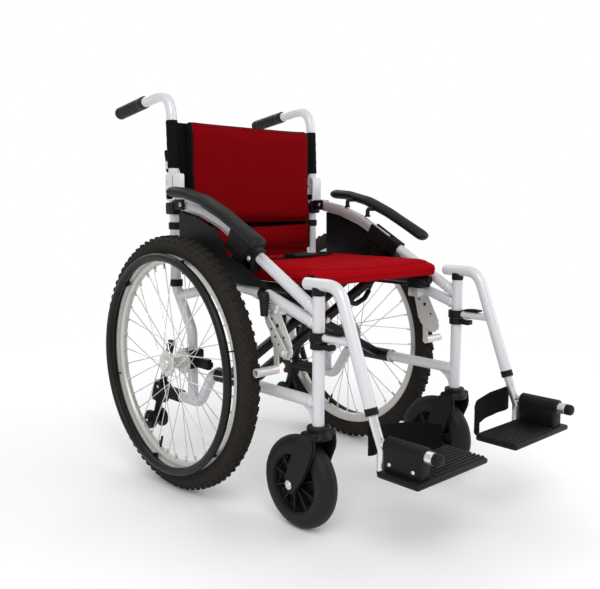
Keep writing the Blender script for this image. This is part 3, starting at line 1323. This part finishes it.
@dataclass
class Legrest:
    """Swing-away hanger with its latch, and the height-adjustable footrest with plate and heel strap."""

    side: Side
    post_y: float = -0.426
    hanger_z: float = 0.5225
    bend_y: float = -0.483
    foot: Flat = (-0.573, 0.285)
    latch_z: float = 0.417
    flip_z: float = 0.238
    foot_post_y: float = -0.598
    tube_r: float = 0.0095
    plate_top: float = 0.198
    strap_z: float = 0.264
    strap_high: float = 0.0560

    @property
    def way(self) -> Vector:
        """The direction down the hanger's front tube."""
        return Vector((0, self.foot[0] - self.bend_y, self.foot[1] - self.hanger_z)).normalized()

    def build(self) -> None:
        """Make the hanger, latch, footrest, plate and strap."""
        self.hanger()
        self.latch()
        self.footrest()
        self.footplate()
        self.heel_strap()

    def hanger(self) -> None:
        """The bent tube, its peg in the front post, and the arm that hooks the post."""
        bench = Bench("hanger", self.side)
        y, foot = self.post_y, mid(*self.foot)
        bench.sweep([mid(-0.390, self.hanger_z), mid(self.bend_y, self.hanger_z), foot], TUBE_R,
                    PEARL, 0.045, 24)
        bench.sweep([mid(-0.3935, self.hanger_z), mid(-0.3885, self.hanger_z)], TUBE_R * 0.93,
                    MOULDING, sides=24)
        bench.rod(mid(y, 0.440), mid(y, self.hanger_z), 0.0094, CHROME, 20)
        bench.rod(mid(y, 0.5003), mid(y, self.hanger_z - 0.006), 0.0140, MOULDING, 32, chamfer=0.001)
        bench.sweep([mid(y - 0.0170, self.latch_z), mid(-0.517, self.latch_z)], 0.0090, PEARL, sides=20)
        bench.lathe([(-0.009, 0.0132), (-0.009, 0.0192), (-0.0082, 0.0200), (0.0082, 0.0200), (0.009, 0.0192),
                     (0.009, 0.0132)], mid(y, self.latch_z), MOULDING, "Z", 36)
        bench.rod(foot - self.way * 0.0160, foot + self.way * 0.0004, TUBE_R + 0.0008, MOULDING, 28,
                  chamfer=0.0012)
        bench.make("hanger")

    def latch(self) -> None:
        """The thumb lever on the hanger's arm."""
        bench = Bench("hanger_latch", self.side)
        z = self.latch_z
        bench.plate([(-0.449, z + 0.0095), (-0.489, z + 0.0095), (-0.4945, z + 0.0112), (-0.4940, z + 0.0152),
                     (-0.470, z + 0.0158), (-0.452, z + 0.0138)], FRAME_X - 0.009, 0.018, MOULDING, 0.0012,
                     0.0014)
        for y in (-0.470, -0.476, -0.482):
            bench.block((0.0140, 0.0022, 0.0010), mid(y, z + 0.0153), MOULDING, edge=0.0003)
        bench.make("hanger_latch")

    def footrest(self) -> None:
        """The sliding leg, its stub for the plate, and the capped end."""
        bench = Bench("footrest_tube", self.side)
        foot = mid(*self.foot)
        bend = foot + self.way * ((self.foot[1] - 0.262) / -self.way.z)
        bench.sweep([foot - self.way * 0.085, bend, mid(self.foot_post_y, 0.225),
                     mid(self.foot_post_y, 0.178)], self.tube_r, CHROME, 0.02, 24)
        y = self.foot_post_y
        bench.rod(mid(y, self.flip_z), mid(-0.716, self.flip_z), self.tube_r - 0.0012, CHROME, 24)
        bench.rod(mid(-0.7025, self.flip_z), mid(-0.7192, self.flip_z), 0.0118, CHROME, 28, chamfer=0.001)
        bench.lathe([(0.0, 0.0), (0.0, 0.0112), (-0.0020, 0.0119), (-0.0110, 0.0116), (-0.0146, 0.0095),
                     (-0.0158, 0.0055), (-0.0160, 0.0)], mid(-0.7190, self.flip_z), MOULDING, "Y", 32,
                    closed=False)
        bench.rod(mid(y, 0.178), mid(y, 0.186), 0.0096, MOULDING, 24, chamfer=0.001)
        bench.make("footrest")

    def footplate(self) -> None:
        """The flip-up plate with its tread grooves, raised heel edge and hinge tunnel."""
        bench = Bench("footplate", self.side)
        inner, outer, back, front = 0.050, 0.268, -0.612, -0.710
        thick, top = 0.016, self.plate_top
        bench.block((outer - inner, back - front, thick - 0.004), at((inner + outer) / 2, (back + front) / 2,
                    top - 0.002 - (thick - 0.004) / 2 - 0.0010), MOULDING, edge=0.005)
        for i in range(9):
            y = back - 0.010 - i * 0.0097
            bench.block((0.160, 0.0052, 0.0036), at(0.132, y, top - 0.0026), MOULDING, edge=0.0014)
        bench.block((0.166, 0.0050, 0.0052), at(0.134, back - 0.0032, top - 0.0026), MOULDING, edge=0.002)
        bench.lathe([(0.0, 0.0086), (0.0, 0.0155), (0.0015, 0.0170), (0.0885, 0.0170), (0.0900, 0.0155),
                     (0.0900, 0.0086)], mid(back - 0.0900, self.flip_z), MOULDING, "Y", 36)
        bench.block((0.0340, 0.0880, 0.0560), mid(-0.657, 0.2130), MOULDING, edge=0.007)
        for y in (-0.630, -0.685):
            bench.bolt(at(FRAME_X + 0.0165, y, 0.2080), "X", 1, 0.0042)
        bench.make("footplate")

    def heel_strap(self) -> None:
        """The webbing band that stops the heel, with its hemmed edges."""
        stops = [(0.2440, -0.5712, 0.0), (0.2300, -0.5712, 0.002), (0.1800, -0.5620, 0.008),
                 (0.1200, -0.5660, 0.016), (0.0800, -0.5880, 0.020), (0.0650, -0.6108, 0.022)]
        path = rounded([at(x, y, self.strap_z - down) for x, y, down in stops], 0.05, 6)
        fine = spaced(path, 48)
        bench = Bench("heel_strap", self.side)
        bench.take(self.band(fine, 0.0022, self.strap_high), WEBBING)
        strap = bench.make("footrest")
        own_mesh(strap)

    @staticmethod
    def band(path: Sequence[Vector], thick: float, high: float) -> bmesh.types.BMesh:
        """A flat band on edge along a path, a little thicker at its hems.

        Args:
            path: its upper edge.
            thick: its thickness.
            high: how far it hangs down.

        Returns:
            The band's solid.
        """
        steps = [0.0, 0.04, 0.08, 0.12, 0.5, 0.88, 0.92, 0.96, 1.0]
        hems = [0.35, 1.0, 1.0, 0.72, 0.72, 0.72, 1.0, 1.0, 0.35]
        solid = bmesh.new()
        rings = []
        for i, point in enumerate(path):
            run = direction(path, i)
            side = Vector((-run.y, run.x, 0)).normalized()
            wave = 0.0012 * math.sin(i * 0.55)
            front = [solid.verts.new(point + side * (thick / 2 * hem + wave * s) - Vector((0, 0, high * s)))
                     for s, hem in zip(steps, hems)]
            back = [solid.verts.new(point - side * (thick / 2 * hem - wave * s) - Vector((0, 0, high * s)))
                    for s, hem in zip(steps, hems)]
            rings.append(front + back[::-1])
        wrap(solid, rings)
        return solid


@dataclass
class AntiTipper:
    """Sloping rear stay with its clamp housing, red knob and pair of small rollers."""

    side: Side
    top: Flat = (0.118, 0.325)
    foot: Flat = (0.198, 0.112)
    rail_z: float = 0.196

    def build(self) -> None:
        """Make the stay and the rollers."""
        bench = Bench("anti_tipper", self.side)
        top, foot = mid(*self.top), mid(*self.foot)
        way = (top - foot).normalized()
        bench.rod(top, foot - way * 0.008, 0.0095, SATIN_BLACK, 28)
        bench.rod(top - way * 0.004, top + way * 0.008, 0.0110, MOULDING, 28, chamfer=0.002)
        slope = math.atan2(self.foot[0] - self.top[0], self.top[1] - self.foot[1])
        bench.block((0.034, 0.038, 0.056), mid(0.168, 0.192), MOULDING, slope, edge=0.005)
        bench.rod(mid(0.072, self.rail_z), mid(0.160, self.rail_z), 0.0165, MOULDING, 32, chamfer=0.002)
        bench.rod(mid(0.1800, 0.1780), mid(0.2060, 0.1680), 0.0085, RED_KNOB, 28, chamfer=0.002)
        for way_x in (1, -1):
            bench.bolt(at(FRAME_X + way_x * 0.0165, 0.158, 0.2080), "X", way_x, 0.0045)
        bench.rod(foot + aside(0.0098), foot - aside(0.0098), 0.0100, MOULDING, 24, chamfer=0.001)
        bench.make("frame")

        rollers = Bench("anti_tip_rollers", self.side)
        for way_x in (1, -1):
            rollers.lathe([(way_x * 0.0100, 0.0040), (way_x * 0.0100, 0.0215), (way_x * 0.0112, 0.0238),
                           (way_x * 0.0135, 0.0249), (way_x * 0.0205, 0.0249), (way_x * 0.0228, 0.0238),
                           (way_x * 0.0240, 0.0215), (way_x * 0.0240, 0.0150), (way_x * 0.0225, 0.0140),
                           (way_x * 0.0225, 0.0070), (way_x * 0.0240, 0.0064), (way_x * 0.0280, 0.0050),
                           (way_x * 0.0280, 0.0040)], foot, SOFT_GRIP, "X", 44)
        rollers.rod(foot - aside(0.0280), foot + aside(0.0280), 0.0042, CHROME, 20)
        rollers.make("rollers")


@dataclass
class CrossBrace:
    """The folding scissor: box-section struts, rail sleeves, seat rails and bent control links."""

    rail_x: float = 0.190
    rail_z: float = 0.4985
    rail_r: float = 0.0110
    lower_z: float = 0.280
    strut: float = 0.020
    sleeve_r: float = 0.0165
    planes: tuple[Flat, ...] = ((-0.202, -0.124), (-0.1785, -0.1005))

    @property
    def rise(self) -> float:
        """The struts' slope."""
        return math.atan2(self.rail_z - self.lower_z, FRAME_X + self.rail_x)

    @property
    def pin_z(self) -> float:
        """The height of the middle pin."""
        return self.lower_z + FRAME_X * math.tan(self.rise)

    def build(self) -> None:
        """Make both halves and the pin."""
        self.half("brace_a", -1, self.planes[0])
        self.half("brace_b", 1, self.planes[1])
        self.pin()

    def half(self, name: str, way: int, planes: Flat) -> None:
        """One half of the scissor.

        Args:
            name: the CAD node and body it belongs to.
            way: -1 when its foot is on the right rail, +1 on the left.
            planes: the two planes of its struts.
        """
        bench = Bench(name)
        foot_x, head_x = way * FRAME_X, -way * self.rail_x
        length = math.hypot(self.rail_z - self.lower_z, foot_x - head_x)
        bench.rod(at(head_x, -0.005, self.rail_z), at(head_x, -0.375, self.rail_z), self.rail_r, SATIN_BLACK,
                  28, chamfer=0.002)
        for y in (-0.378, -0.002):
            near = y + 0.004 if y < -0.1 else y - 0.004
            bench.rod(at(head_x, near, self.rail_z), at(head_x, y, self.rail_z), self.rail_r * 0.93,
                      MOULDING, 24)
        bench.lathe([(-0.065, TUBE_R + 0.0004), (-0.065, 0.0158), (-0.0640, self.sleeve_r),
                     (0.0640, self.sleeve_r), (0.065, 0.0158), (0.065, TUBE_R + 0.0004)],
                    at(foot_x, -0.153, self.lower_z), SATIN_BLACK, "Y", 36)
        for y, out in ((-0.2195, -1), (-0.0865, 1)):
            bench.lathe([(0.0, TUBE_R + 0.0004), (0.0, 0.0172), (out * 0.0012, 0.0176),
                         (out * 0.0060, 0.0170), (out * 0.0070, TUBE_R + 0.0008)],
                        at(foot_x, y, self.lower_z), SILVER, "Y", 36)
            bench.bolt(at(foot_x + 0.0168, y + out * 0.003, self.lower_z), "X", 1, 0.0030, MOULDING)
        for y in planes:
            centre = at((foot_x + head_x) / 2, y, (self.lower_z + self.rail_z) / 2)
            bench.block((length - 0.024, self.strut, self.strut), centre, SATIN_BLACK, way * self.rise, "Y",
                        0.0026)
        link = [(0.078, 0.4395), (0.116, 0.4290), (0.148, 0.4410), (0.164, 0.4600)]
        bench.sweep([at(-way * x, planes[0], z) for x, z in link], 0.0064, SATIN_BLACK, 0.015, 16)
        bench.sweep([at(-way * 0.1630, planes[0], 0.4585), at(-way * 0.1830, planes[0], 0.4880)], 0.0052,
                    CHROME, sides=16, flatten=(0.5, 1.0))
        bench.make(name)

    def pin(self) -> None:
        """The middle pin with its hex heads and washers."""
        bench = Bench("brace_pin")
        front = self.planes[0][0] - self.strut / 2
        rear = self.planes[1][1] + self.strut / 2
        bench.rod(at(0, front - 0.002, self.pin_z), at(0, rear + 0.002, self.pin_z), 0.0039, CHROME, 20)
        for y, way in ((front, -1), (rear, 1)):
            bench.rod(at(0, y + way * 0.0004, self.pin_z), at(0, y + way * 0.0018, self.pin_z), 0.0075,
                      CHROME, 28, chamfer=0.0003)
            bench.rod(at(0, y + way * 0.0016, self.pin_z), at(0, y + way * 0.0068, self.pin_z), 0.0068,
                      CHROME, 6)
        bench.make("brace_a")


# Soft goods ------------------------------------------------------------------------------------------
@dataclass
class Cushion:
    """A sewn pad: a crowned closed form, swollen by cloth simulation, then creased, piped and stitched.

    It is worked in its own directions (across, along, up) and `matrix` turns them into the frame's.
    """

    name: str
    body: str
    half_width: float
    length: float
    thick: float
    matrix: Matrix
    border: float
    anchor: float
    keep: float
    voxel: float = 0.0055
    cap: float = 0.008
    flat_below: float = 0.0
    edge: float = 0.60
    slack: float = 0.0025
    piping_up: float = 0.16
    piping_r: float = 0.0026
    stitch: float = 0.0034
    stitch_step: float = 0.0052
    lean: float = 0.0
    side_band: float = 0.0
    finish: Finish = RED_CLOTH
    piping: Finish = BLACK_CLOTH

    def build(self) -> bpy.types.Object:
        """Make the pad, its piping and its stitches.

        Returns:
            The pad.
        """
        mesh = self.swollen()
        self.sew(mesh)
        tree = self.tree(mesh)
        piping, row = self.piping_path(tree), self.stitch_row(tree)
        mesh.transform(self.matrix)
        bench = Bench(self.name)
        bench.take_mesh(mesh, self.finish)
        self.panel(bench)
        pad = bench.make(self.body)
        trim = Bench(self.name + "_piping")
        trim.sweep([self.matrix @ p for p in piping + piping[:2]], self.piping_r, self.piping, sides=12)
        path = [self.matrix @ p for p in row]
        stitch = small_rod((0, 0, -self.stitch / 2), (0, 0, self.stitch / 2), 0.00055, 5)
        count = max(4, int(run_length(path) / self.stitch_step))
        thread = Bench(self.name + "_stitches")
        thread.take_mesh(Repeater.run(Repeat.PATH, stitch, count, THREAD, path=path), THREAD)
        for piece in (pad, trim.make(self.body, stands=False),
                      thread.make(self.body, stands=False)):
            fold(piece)
        return pad

    def panel(self, bench: Bench) -> None:
        """Give the strips along the pad's left and right edges their black cloth.

        Args:
            bench: the bench that holds the pad, in the frame's directions.
        """
        dark = self.piping if self.piping is not self.finish else BLACK_CLOTH
        bench.finishes.append(dark)
        for face in bench.shape.faces:
            if self.half_width - abs(face.calc_center_median().x) < self.side_band:
                face.material_index = bench.finishes.index(dark)

    def shell(self) -> bpy.types.Mesh:
        """The pad before it swells.

        Returns:
            Its mesh, closed, with its sides drawn in between the corners.
        """
        columns, rows = 26, 26

        def place(i: int, j: int, top: bool) -> Vector:
            """A point of the upper or lower skin."""
            u, v = -1 + 2 * i / columns, j / rows
            edge = min(1.0, (1 - abs(u)) * self.half_width / 0.030)
            edge *= min(1.0, min(v, 1 - v) * self.length / 0.030)
            draw = 1 - 0.014 * math.sin(math.pi * v) * abs(u) ** 3
            pull = 0.0035 * (1 - u * u) * (0.5 - v) * 2 * abs(v - 0.5) ** 2
            high = self.thick * (self.edge + (0.90 - self.edge) * math.sqrt(max(0.0, edge))) if top else 0.0
            high *= 1.0 - self.lean * v
            slack = self.slack
            return Vector((u * (self.half_width * draw - slack),
                           slack + (v + pull) * (self.length - 2 * slack), high))
        return meshed(quilt(rows, columns, place), self.name + "_shell")

    def swollen(self) -> bpy.types.Mesh:
        """The shell remeshed evenly and swollen by cloth pressure, within a cap.

        Returns:
            The smooth pad's mesh.
        """
        scene = bpy.context.scene
        work = bpy.data.objects.new(self.name + "_work", self.shell())
        scene.collection.objects.link(work)
        remesh = work.modifiers.new("even", "REMESH")
        remesh.mode = "VOXEL"
        remesh.voxel_size = self.voxel
        work.data = self.applied(work)
        rest = [vertex.co.copy() for vertex in work.data.vertices]
        swell = work.modifiers.new("swell", "CLOTH")
        swell.settings.use_pressure = True
        swell.settings.uniform_pressure_force = 4.0
        swell.settings.effector_weights.gravity = 0.0
        swell.settings.tension_stiffness = 25.0
        swell.settings.compression_stiffness = 25.0
        swell.settings.bending_stiffness = 1.5
        swell.point_cache.frame_end = 20
        for number in range(1, 21):
            scene.frame_set(number)
        work.data = self.applied(work)
        for vertex, before in zip(work.data.vertices, rest):
            move = vertex.co - before
            if move.length > self.cap:
                vertex.co = before + move.normalized() * self.cap
            if vertex.co.z < self.flat_below:
                vertex.co.z = self.flat_below
        scene.frame_set(1)
        work.modifiers.new("soften", "SMOOTH").iterations = 4
        work.modifiers.new("fine", "SUBSURF").levels = 1
        work.modifiers["fine"].render_levels = 1
        mesh = self.applied(work)
        bpy.data.objects.remove(work)
        return mesh

    @staticmethod
    def applied(work: bpy.types.Object) -> bpy.types.Mesh:
        """An object's mesh with its modifiers applied and removed.

        Args:
            work: the object.

        Returns:
            The new mesh.
        """
        made = bpy.data.meshes.new_from_object(work.evaluated_get(bpy.context.evaluated_depsgraph_get()))
        work.modifiers.clear()
        return made

    def sew(self, mesh: bpy.types.Mesh) -> None:
        """Pull the top down round the border, with a few soft puckers.

        Args:
            mesh: the swollen pad, which is changed.
        """
        for vertex in mesh.vertices:
            a, b, up = vertex.co
            if up < self.thick * 0.30:
                continue
            inside = min(self.half_width - abs(a), b, self.length - b) - self.border
            hem = math.exp(-(inside / 0.0040) ** 2)
            pucker = 0.25 * math.sin((a + b) * 190.0) * math.exp(-(inside / 0.011) ** 2)
            vertex.co.z -= 0.0016 * hem + 0.0010 * pucker

    @staticmethod
    def tree(mesh: bpy.types.Mesh) -> BVHTree:
        """A search tree of a mesh's faces."""
        solid = bmesh.new()
        solid.from_mesh(mesh)
        made = BVHTree.FromBMesh(solid)
        solid.free()
        return made

    def outline(self, inset: float, corner: float = 0.022, step: float = 0.006) -> list[Flat]:
        """A rounded rectangle inside the pad's edge.

        Args:
            inset: how far inside.
            corner: the radius of its corners.
            step: the distance between its points.

        Returns:
            Its (across, along) points.
        """
        wide, low, high = self.half_width - inset, inset, self.length - inset
        corners = [Vector((x, y, 0)) for x, y in ((-wide, low), (wide, low), (wide, high), (-wide, high))]
        middle = (corners[3] + corners[0]) / 2
        path = rounded([middle] + corners + [middle], corner, 6)
        return [(p.x, p.y) for p in spaced(path, int(2 * (2 * wide + self.length) / step))][:-1]

    def piping_path(self, tree: BVHTree) -> list[Vector]:
        """The line of the piping, on the pad's widest edge."""
        made = []
        for a, b in self.outline(-0.004, 0.020):
            hit = tree.find_nearest(Vector((a, b, self.thick * self.piping_up)))[0]
            made.append(hit.copy())
        return made

    def stitch_row(self, tree: BVHTree) -> list[Vector]:
        """The line of the stitches, inside the border.

        Args:
            tree: the pad's faces.

        Returns:
            The row's points.
        """
        points = []
        for a, b in self.outline(self.border):
            hit = tree.ray_cast(Vector((a, b, 1.0)), Vector((0, 0, -1)))[0]
            if hit:
                points.append(hit + Vector((0, 0, 0.0001)))
        return points


@dataclass
class Upholstery:
    """The seat cushion, the back pad in two parts, the sling behind it and the lap belt."""

    seat_front: float = -0.392
    seat_back: float = 0.020
    seat_z: float = 0.5100
    back_y: float = 0.085
    sling_y: float = 0.0885
    sling_anchor: float = -0.2120
    sling_keep: float = 0.34
    pad_anchor: float = -0.2223
    pad_keep: float = 0.36
    belt_wide: float = 0.038
    seat: Cushion | None = None

    def build(self) -> None:
        """Make every soft piece between the side frames."""
        self.seat = Cushion("seat_cushion", "seat", 0.213, self.seat_back - self.seat_front, 0.036,
                            Matrix.Translation(at(0, self.seat_front, self.seat_z)), 0.020, -0.190, 0.40,
                            edge=0.72, piping_up=0.45, piping_r=0.0020, finish=SEAT_CLOTH, piping=SEAT_CLOTH,
                            side_band=0.010)
        pad = self.seat.build()
        self.belt(pad)
        for name, body, low, high in (("back_pad_upper", "back_right", 0.6285, 0.885),
                                      ("back_pad_lower", "frame_right", 0.560, 0.6255)):
            turn = Matrix(((1, 0, 0, 0), (0, 0, -1, AXLE.y + self.back_y), (0, 1, 0, low), (0, 0, 0, 1)))
            Cushion(name, body, 0.205, high - low, 0.040, turn, 0.012, self.pad_anchor, self.pad_keep,
                    cap=0.006, slack=-0.0016, lean=0.34 if high > 0.8 else 0.0, side_band=0.0115).build()
        self.sling("back_sling_upper", "back_right", 0.6278, 0.880)
        self.sling("back_sling_lower", "frame_right", 0.562, 0.6400, 0.0030)
        self.flap()

    def sling(self, name: str, body: str, low: float, high: float, behind: float = 0.0) -> None:
        """The stretched cloth between the back posts.

        Args:
            name: the piece's name.
            body: the body it moves with.
            low: its lower edge.
            high: its upper edge.
            behind: how far it stands behind the main cloth.
        """
        rows, columns, thick = 16, 40, 0.0016

        def place(i: int, j: int, top: bool) -> Vector:
            """A point of the front or rear face."""
            z = low + (high - low) * j / rows
            wide = 0.2220 if z > 0.762 or z < 0.62 else 0.2165
            bulge = 0.0035 * math.cos(math.pi * (i / columns - 0.5)) - 0.0015
            skin = -thick / 2 if top else thick / 2
            return at(-wide + 2 * wide * i / columns, self.sling_y + behind + skin + bulge, z)
        bench = Bench(name)
        bench.take(quilt(rows, columns, place), BLACK_CLOTH)
        piece = bench.make(body, stands=False)
        fold(piece)

    def flap(self) -> None:
        """The loose tail of the back cloth, hanging from the lower pad towards the seat."""
        rows, columns = 10, 36

        def place(i: int, j: int, top: bool) -> Vector:
            """A point of the front or rear face."""
            t, skin = j / rows, -0.0008 if top else 0.0008
            return at(-0.196 + 0.392 * i / columns,
                      0.0660 + 0.0020 * math.sin(i * 0.9) * t + 0.006 * t + skin, 0.5680 - 0.040 * t)
        bench = Bench("back_flap")
        bench.take(quilt(rows, columns, place), RED_CLOTH)
        piece = bench.make("frame_right", stands=False)
        fold(piece)

    def belt(self, pad: bpy.types.Object) -> None:
        """The lap belt lying on the seat, with its buckle and slider.

        Args:
            pad: the seat cushion that it lies on.
        """
        tree = Cushion.tree(pad.data)
        ways = {"right": [(-0.203, 0.012), (-0.190, -0.070), (-0.130, -0.130), (-0.050, -0.135)],
                "left": [(0.200, 0.012), (0.170, -0.040), (0.095, -0.105), (0.010, -0.130)]}
        for tag, points in ways.items():
            path = rounded([Vector((x, AXLE.y + y, 1.0)) for x, y in points], 0.12, 8)
            fine = spaced(path, 40)
            band = bmesh.new()
            rings = []
            for i, point in enumerate(fine):
                run = direction(fine, i)
                across = Vector((-run.y, run.x, 0))
                top, low = [], []
                for share in (-0.5, -0.42, -0.25, 0.0, 0.25, 0.42, 0.5):
                    place = point + across * self.belt_wide * share
                    hit = tree.ray_cast(place, Vector((0, 0, -1)))[0]
                    z = hit.z if hit else self.seat_z + 0.026
                    lift = 0.0006 + 0.0012 * (1 - abs(share) * 2) * (1 + math.sin(i * 0.6)) / 2
                    low.append(band.verts.new((place.x, place.y, z + lift)))
                    top.append(band.verts.new((place.x, place.y, z + lift + 0.0015)))
                rings.append(top + low[::-1])
            wrap(band, rings)
            bench = Bench(f"lap_belt_{tag}")
            bench.take(band, WEBBING)
            piece = bench.make("seat", stands=False)
            fold(piece)
        hit = tree.ray_cast(at(-0.020, -0.134, 1.0), Vector((0, 0, -1)))[0]
        buckle = Bench("lap_belt_buckle")
        buckle.block((0.066, 0.044, 0.0110), Vector((-0.020, AXLE.y - 0.134, hit.z + 0.0060)), MOULDING,
                     edge=0.004)
        buckle.block((0.026, 0.026, 0.0030), Vector((-0.014, AXLE.y - 0.134, hit.z + 0.0118)), SOFT_GRIP,
                     edge=0.001)
        fold(buckle.make("seat", stands=False))


# Studio ----------------------------------------------------------------------------------------------
@dataclass
class Studio:
    """Camera at the photograph's viewing angle, soft lights and a plain pale floor."""

    target: Point = (0.164, 0.254, 0.425)
    azimuth: float = math.radians(-42.73)
    elevation: float = math.radians(7.04)
    roll: float = math.radians(0.09)
    distance: float = 2.1027
    lens: float = 44.07
    sensor: float = 36.0
    floor_size: float = 60.0
    floor_z: float = -0.0004
    fade: Flat = (0.7, 2.4)

    def build(self) -> None:
        """Make the camera, the lights, the world and the floor."""
        self.camera()
        self.world()
        self.lights()
        self.floor()
        bpy.context.scene.view_settings.view_transform = "Standard"

    def camera(self) -> None:
        """The scene's camera, aimed at the chair from its front right."""
        data = bpy.data.cameras.new("camera")
        data.sensor_fit = "HORIZONTAL"
        data.sensor_width = self.sensor
        data.lens = self.lens
        data.clip_end = 200.0
        made = bpy.data.objects.new("camera", data)
        target = Vector(self.target)
        way = Vector((math.sin(self.azimuth) * math.cos(self.elevation),
                      -math.cos(self.azimuth) * math.cos(self.elevation), math.sin(self.elevation)))
        made.location = target + way * self.distance
        made.rotation_euler = ((-way).to_track_quat("-Z", "Y").to_matrix()
                               @ Matrix.Rotation(self.roll, 3, "Z")).to_euler()
        bpy.context.scene.collection.objects.link(made)
        bpy.context.scene.camera = made

    @staticmethod
    def world() -> None:
        """White to the camera, and a softer grey for what it lights."""
        made = bpy.data.worlds.new("studio")
        bpy.context.scene.world = made
        made.use_nodes = True
        wires, white = Wiring(made.node_tree), (1.0, 1.0, 1.0, 1.0)
        light = wires.tree.nodes["Background"]
        wires.feed(light, {"Color": white, "Strength": 0.66})
        seen = wires.add("ShaderNodeBackground", {"Color": white, "Strength": 1.0})
        path = wires.add("ShaderNodeLightPath")
        mix = wires.add("ShaderNodeMixShader", {0: path.outputs["Is Camera Ray"], 1: light.outputs[0],
                                                2: seen.outputs[0]})
        wires.feed(wires.tree.nodes["World Output"], {"Surface": mix.outputs[0]})

    def lights(self) -> None:
        """Three large soft panels: above, and at both sides of the camera."""
        for name, place, size, power in (("key", (-2.2, -2.4, 3.2), 2.6, 84.0),
                                         ("fill", (2.8, -2.0, 2.2), 2.4, 34.0),
                                         ("back", (0.8, 3.0, 3.0), 2.6, 40.0)):
            data = bpy.data.lights.new(name, "AREA")
            data.size = size
            data.energy = power
            made = bpy.data.objects.new(name, data)
            made.location = place
            made.rotation_euler = (Vector((0, 0, 0.4)) - Vector(place)).to_track_quat("-Z", "Y").to_euler()
            bpy.context.scene.collection.objects.link(made)

    def floor(self) -> None:
        """A wide pale floor that keeps the chair's soft shadow."""
        solid = bmesh.new()
        bmesh.ops.create_grid(solid, x_segments=2, y_segments=2, size=self.floor_size / 2)
        mesh = meshed(solid, "floor")
        made = bpy.data.objects.new("floor", mesh)
        made.location.z = self.floor_z
        bpy.context.scene.collection.objects.link(made)
        paint = bpy.data.materials.new("pale_floor")
        paint.use_nodes = True
        wires = Wiring(paint.node_tree)
        shader = wires.tree.nodes["Principled BSDF"]
        wires.feed(shader, {"Base Color": (0.95, 0.95, 0.96, 1.0), "Roughness": 0.8,
                            "Specular IOR Level": 0.1})
        reach = wires.add("ShaderNodeVectorMath", {0: wires.place()}, operation="LENGTH").outputs["Value"]
        fade = wires.add("ShaderNodeMapRange",
                         {"Value": reach, "From Min": self.fade[0], "From Max": self.fade[1]},
                         interpolation_type="SMOOTHSTEP").outputs["Result"]
        white = wires.add("ShaderNodeEmission")
        mix = wires.add("ShaderNodeMixShader", {0: fade, 1: shader.outputs[0], 2: white.outputs[0]})
        wires.feed(wires.tree.nodes["Material Output"], {"Surface": mix.outputs[0]})
        mesh.materials.append(paint)


def main() -> None:
    """Build the wheelchair's looks in its studio."""
    logging.basicConfig(level=logging.INFO, format="%(name)s: %(message)s")
    Studio().build()
    for side in Side:
        RearWheel(side).build()
        Castor(side).build()
        SideFrame(side).build()
        Brake(side).build()
        Armrest(side).build()
        BackPost(side).build()
        Legrest(side).build()
        AntiTipper(side).build()
    CrossBrace().build()
    Upholstery().build()


if __name__ == "__main__":
    main()
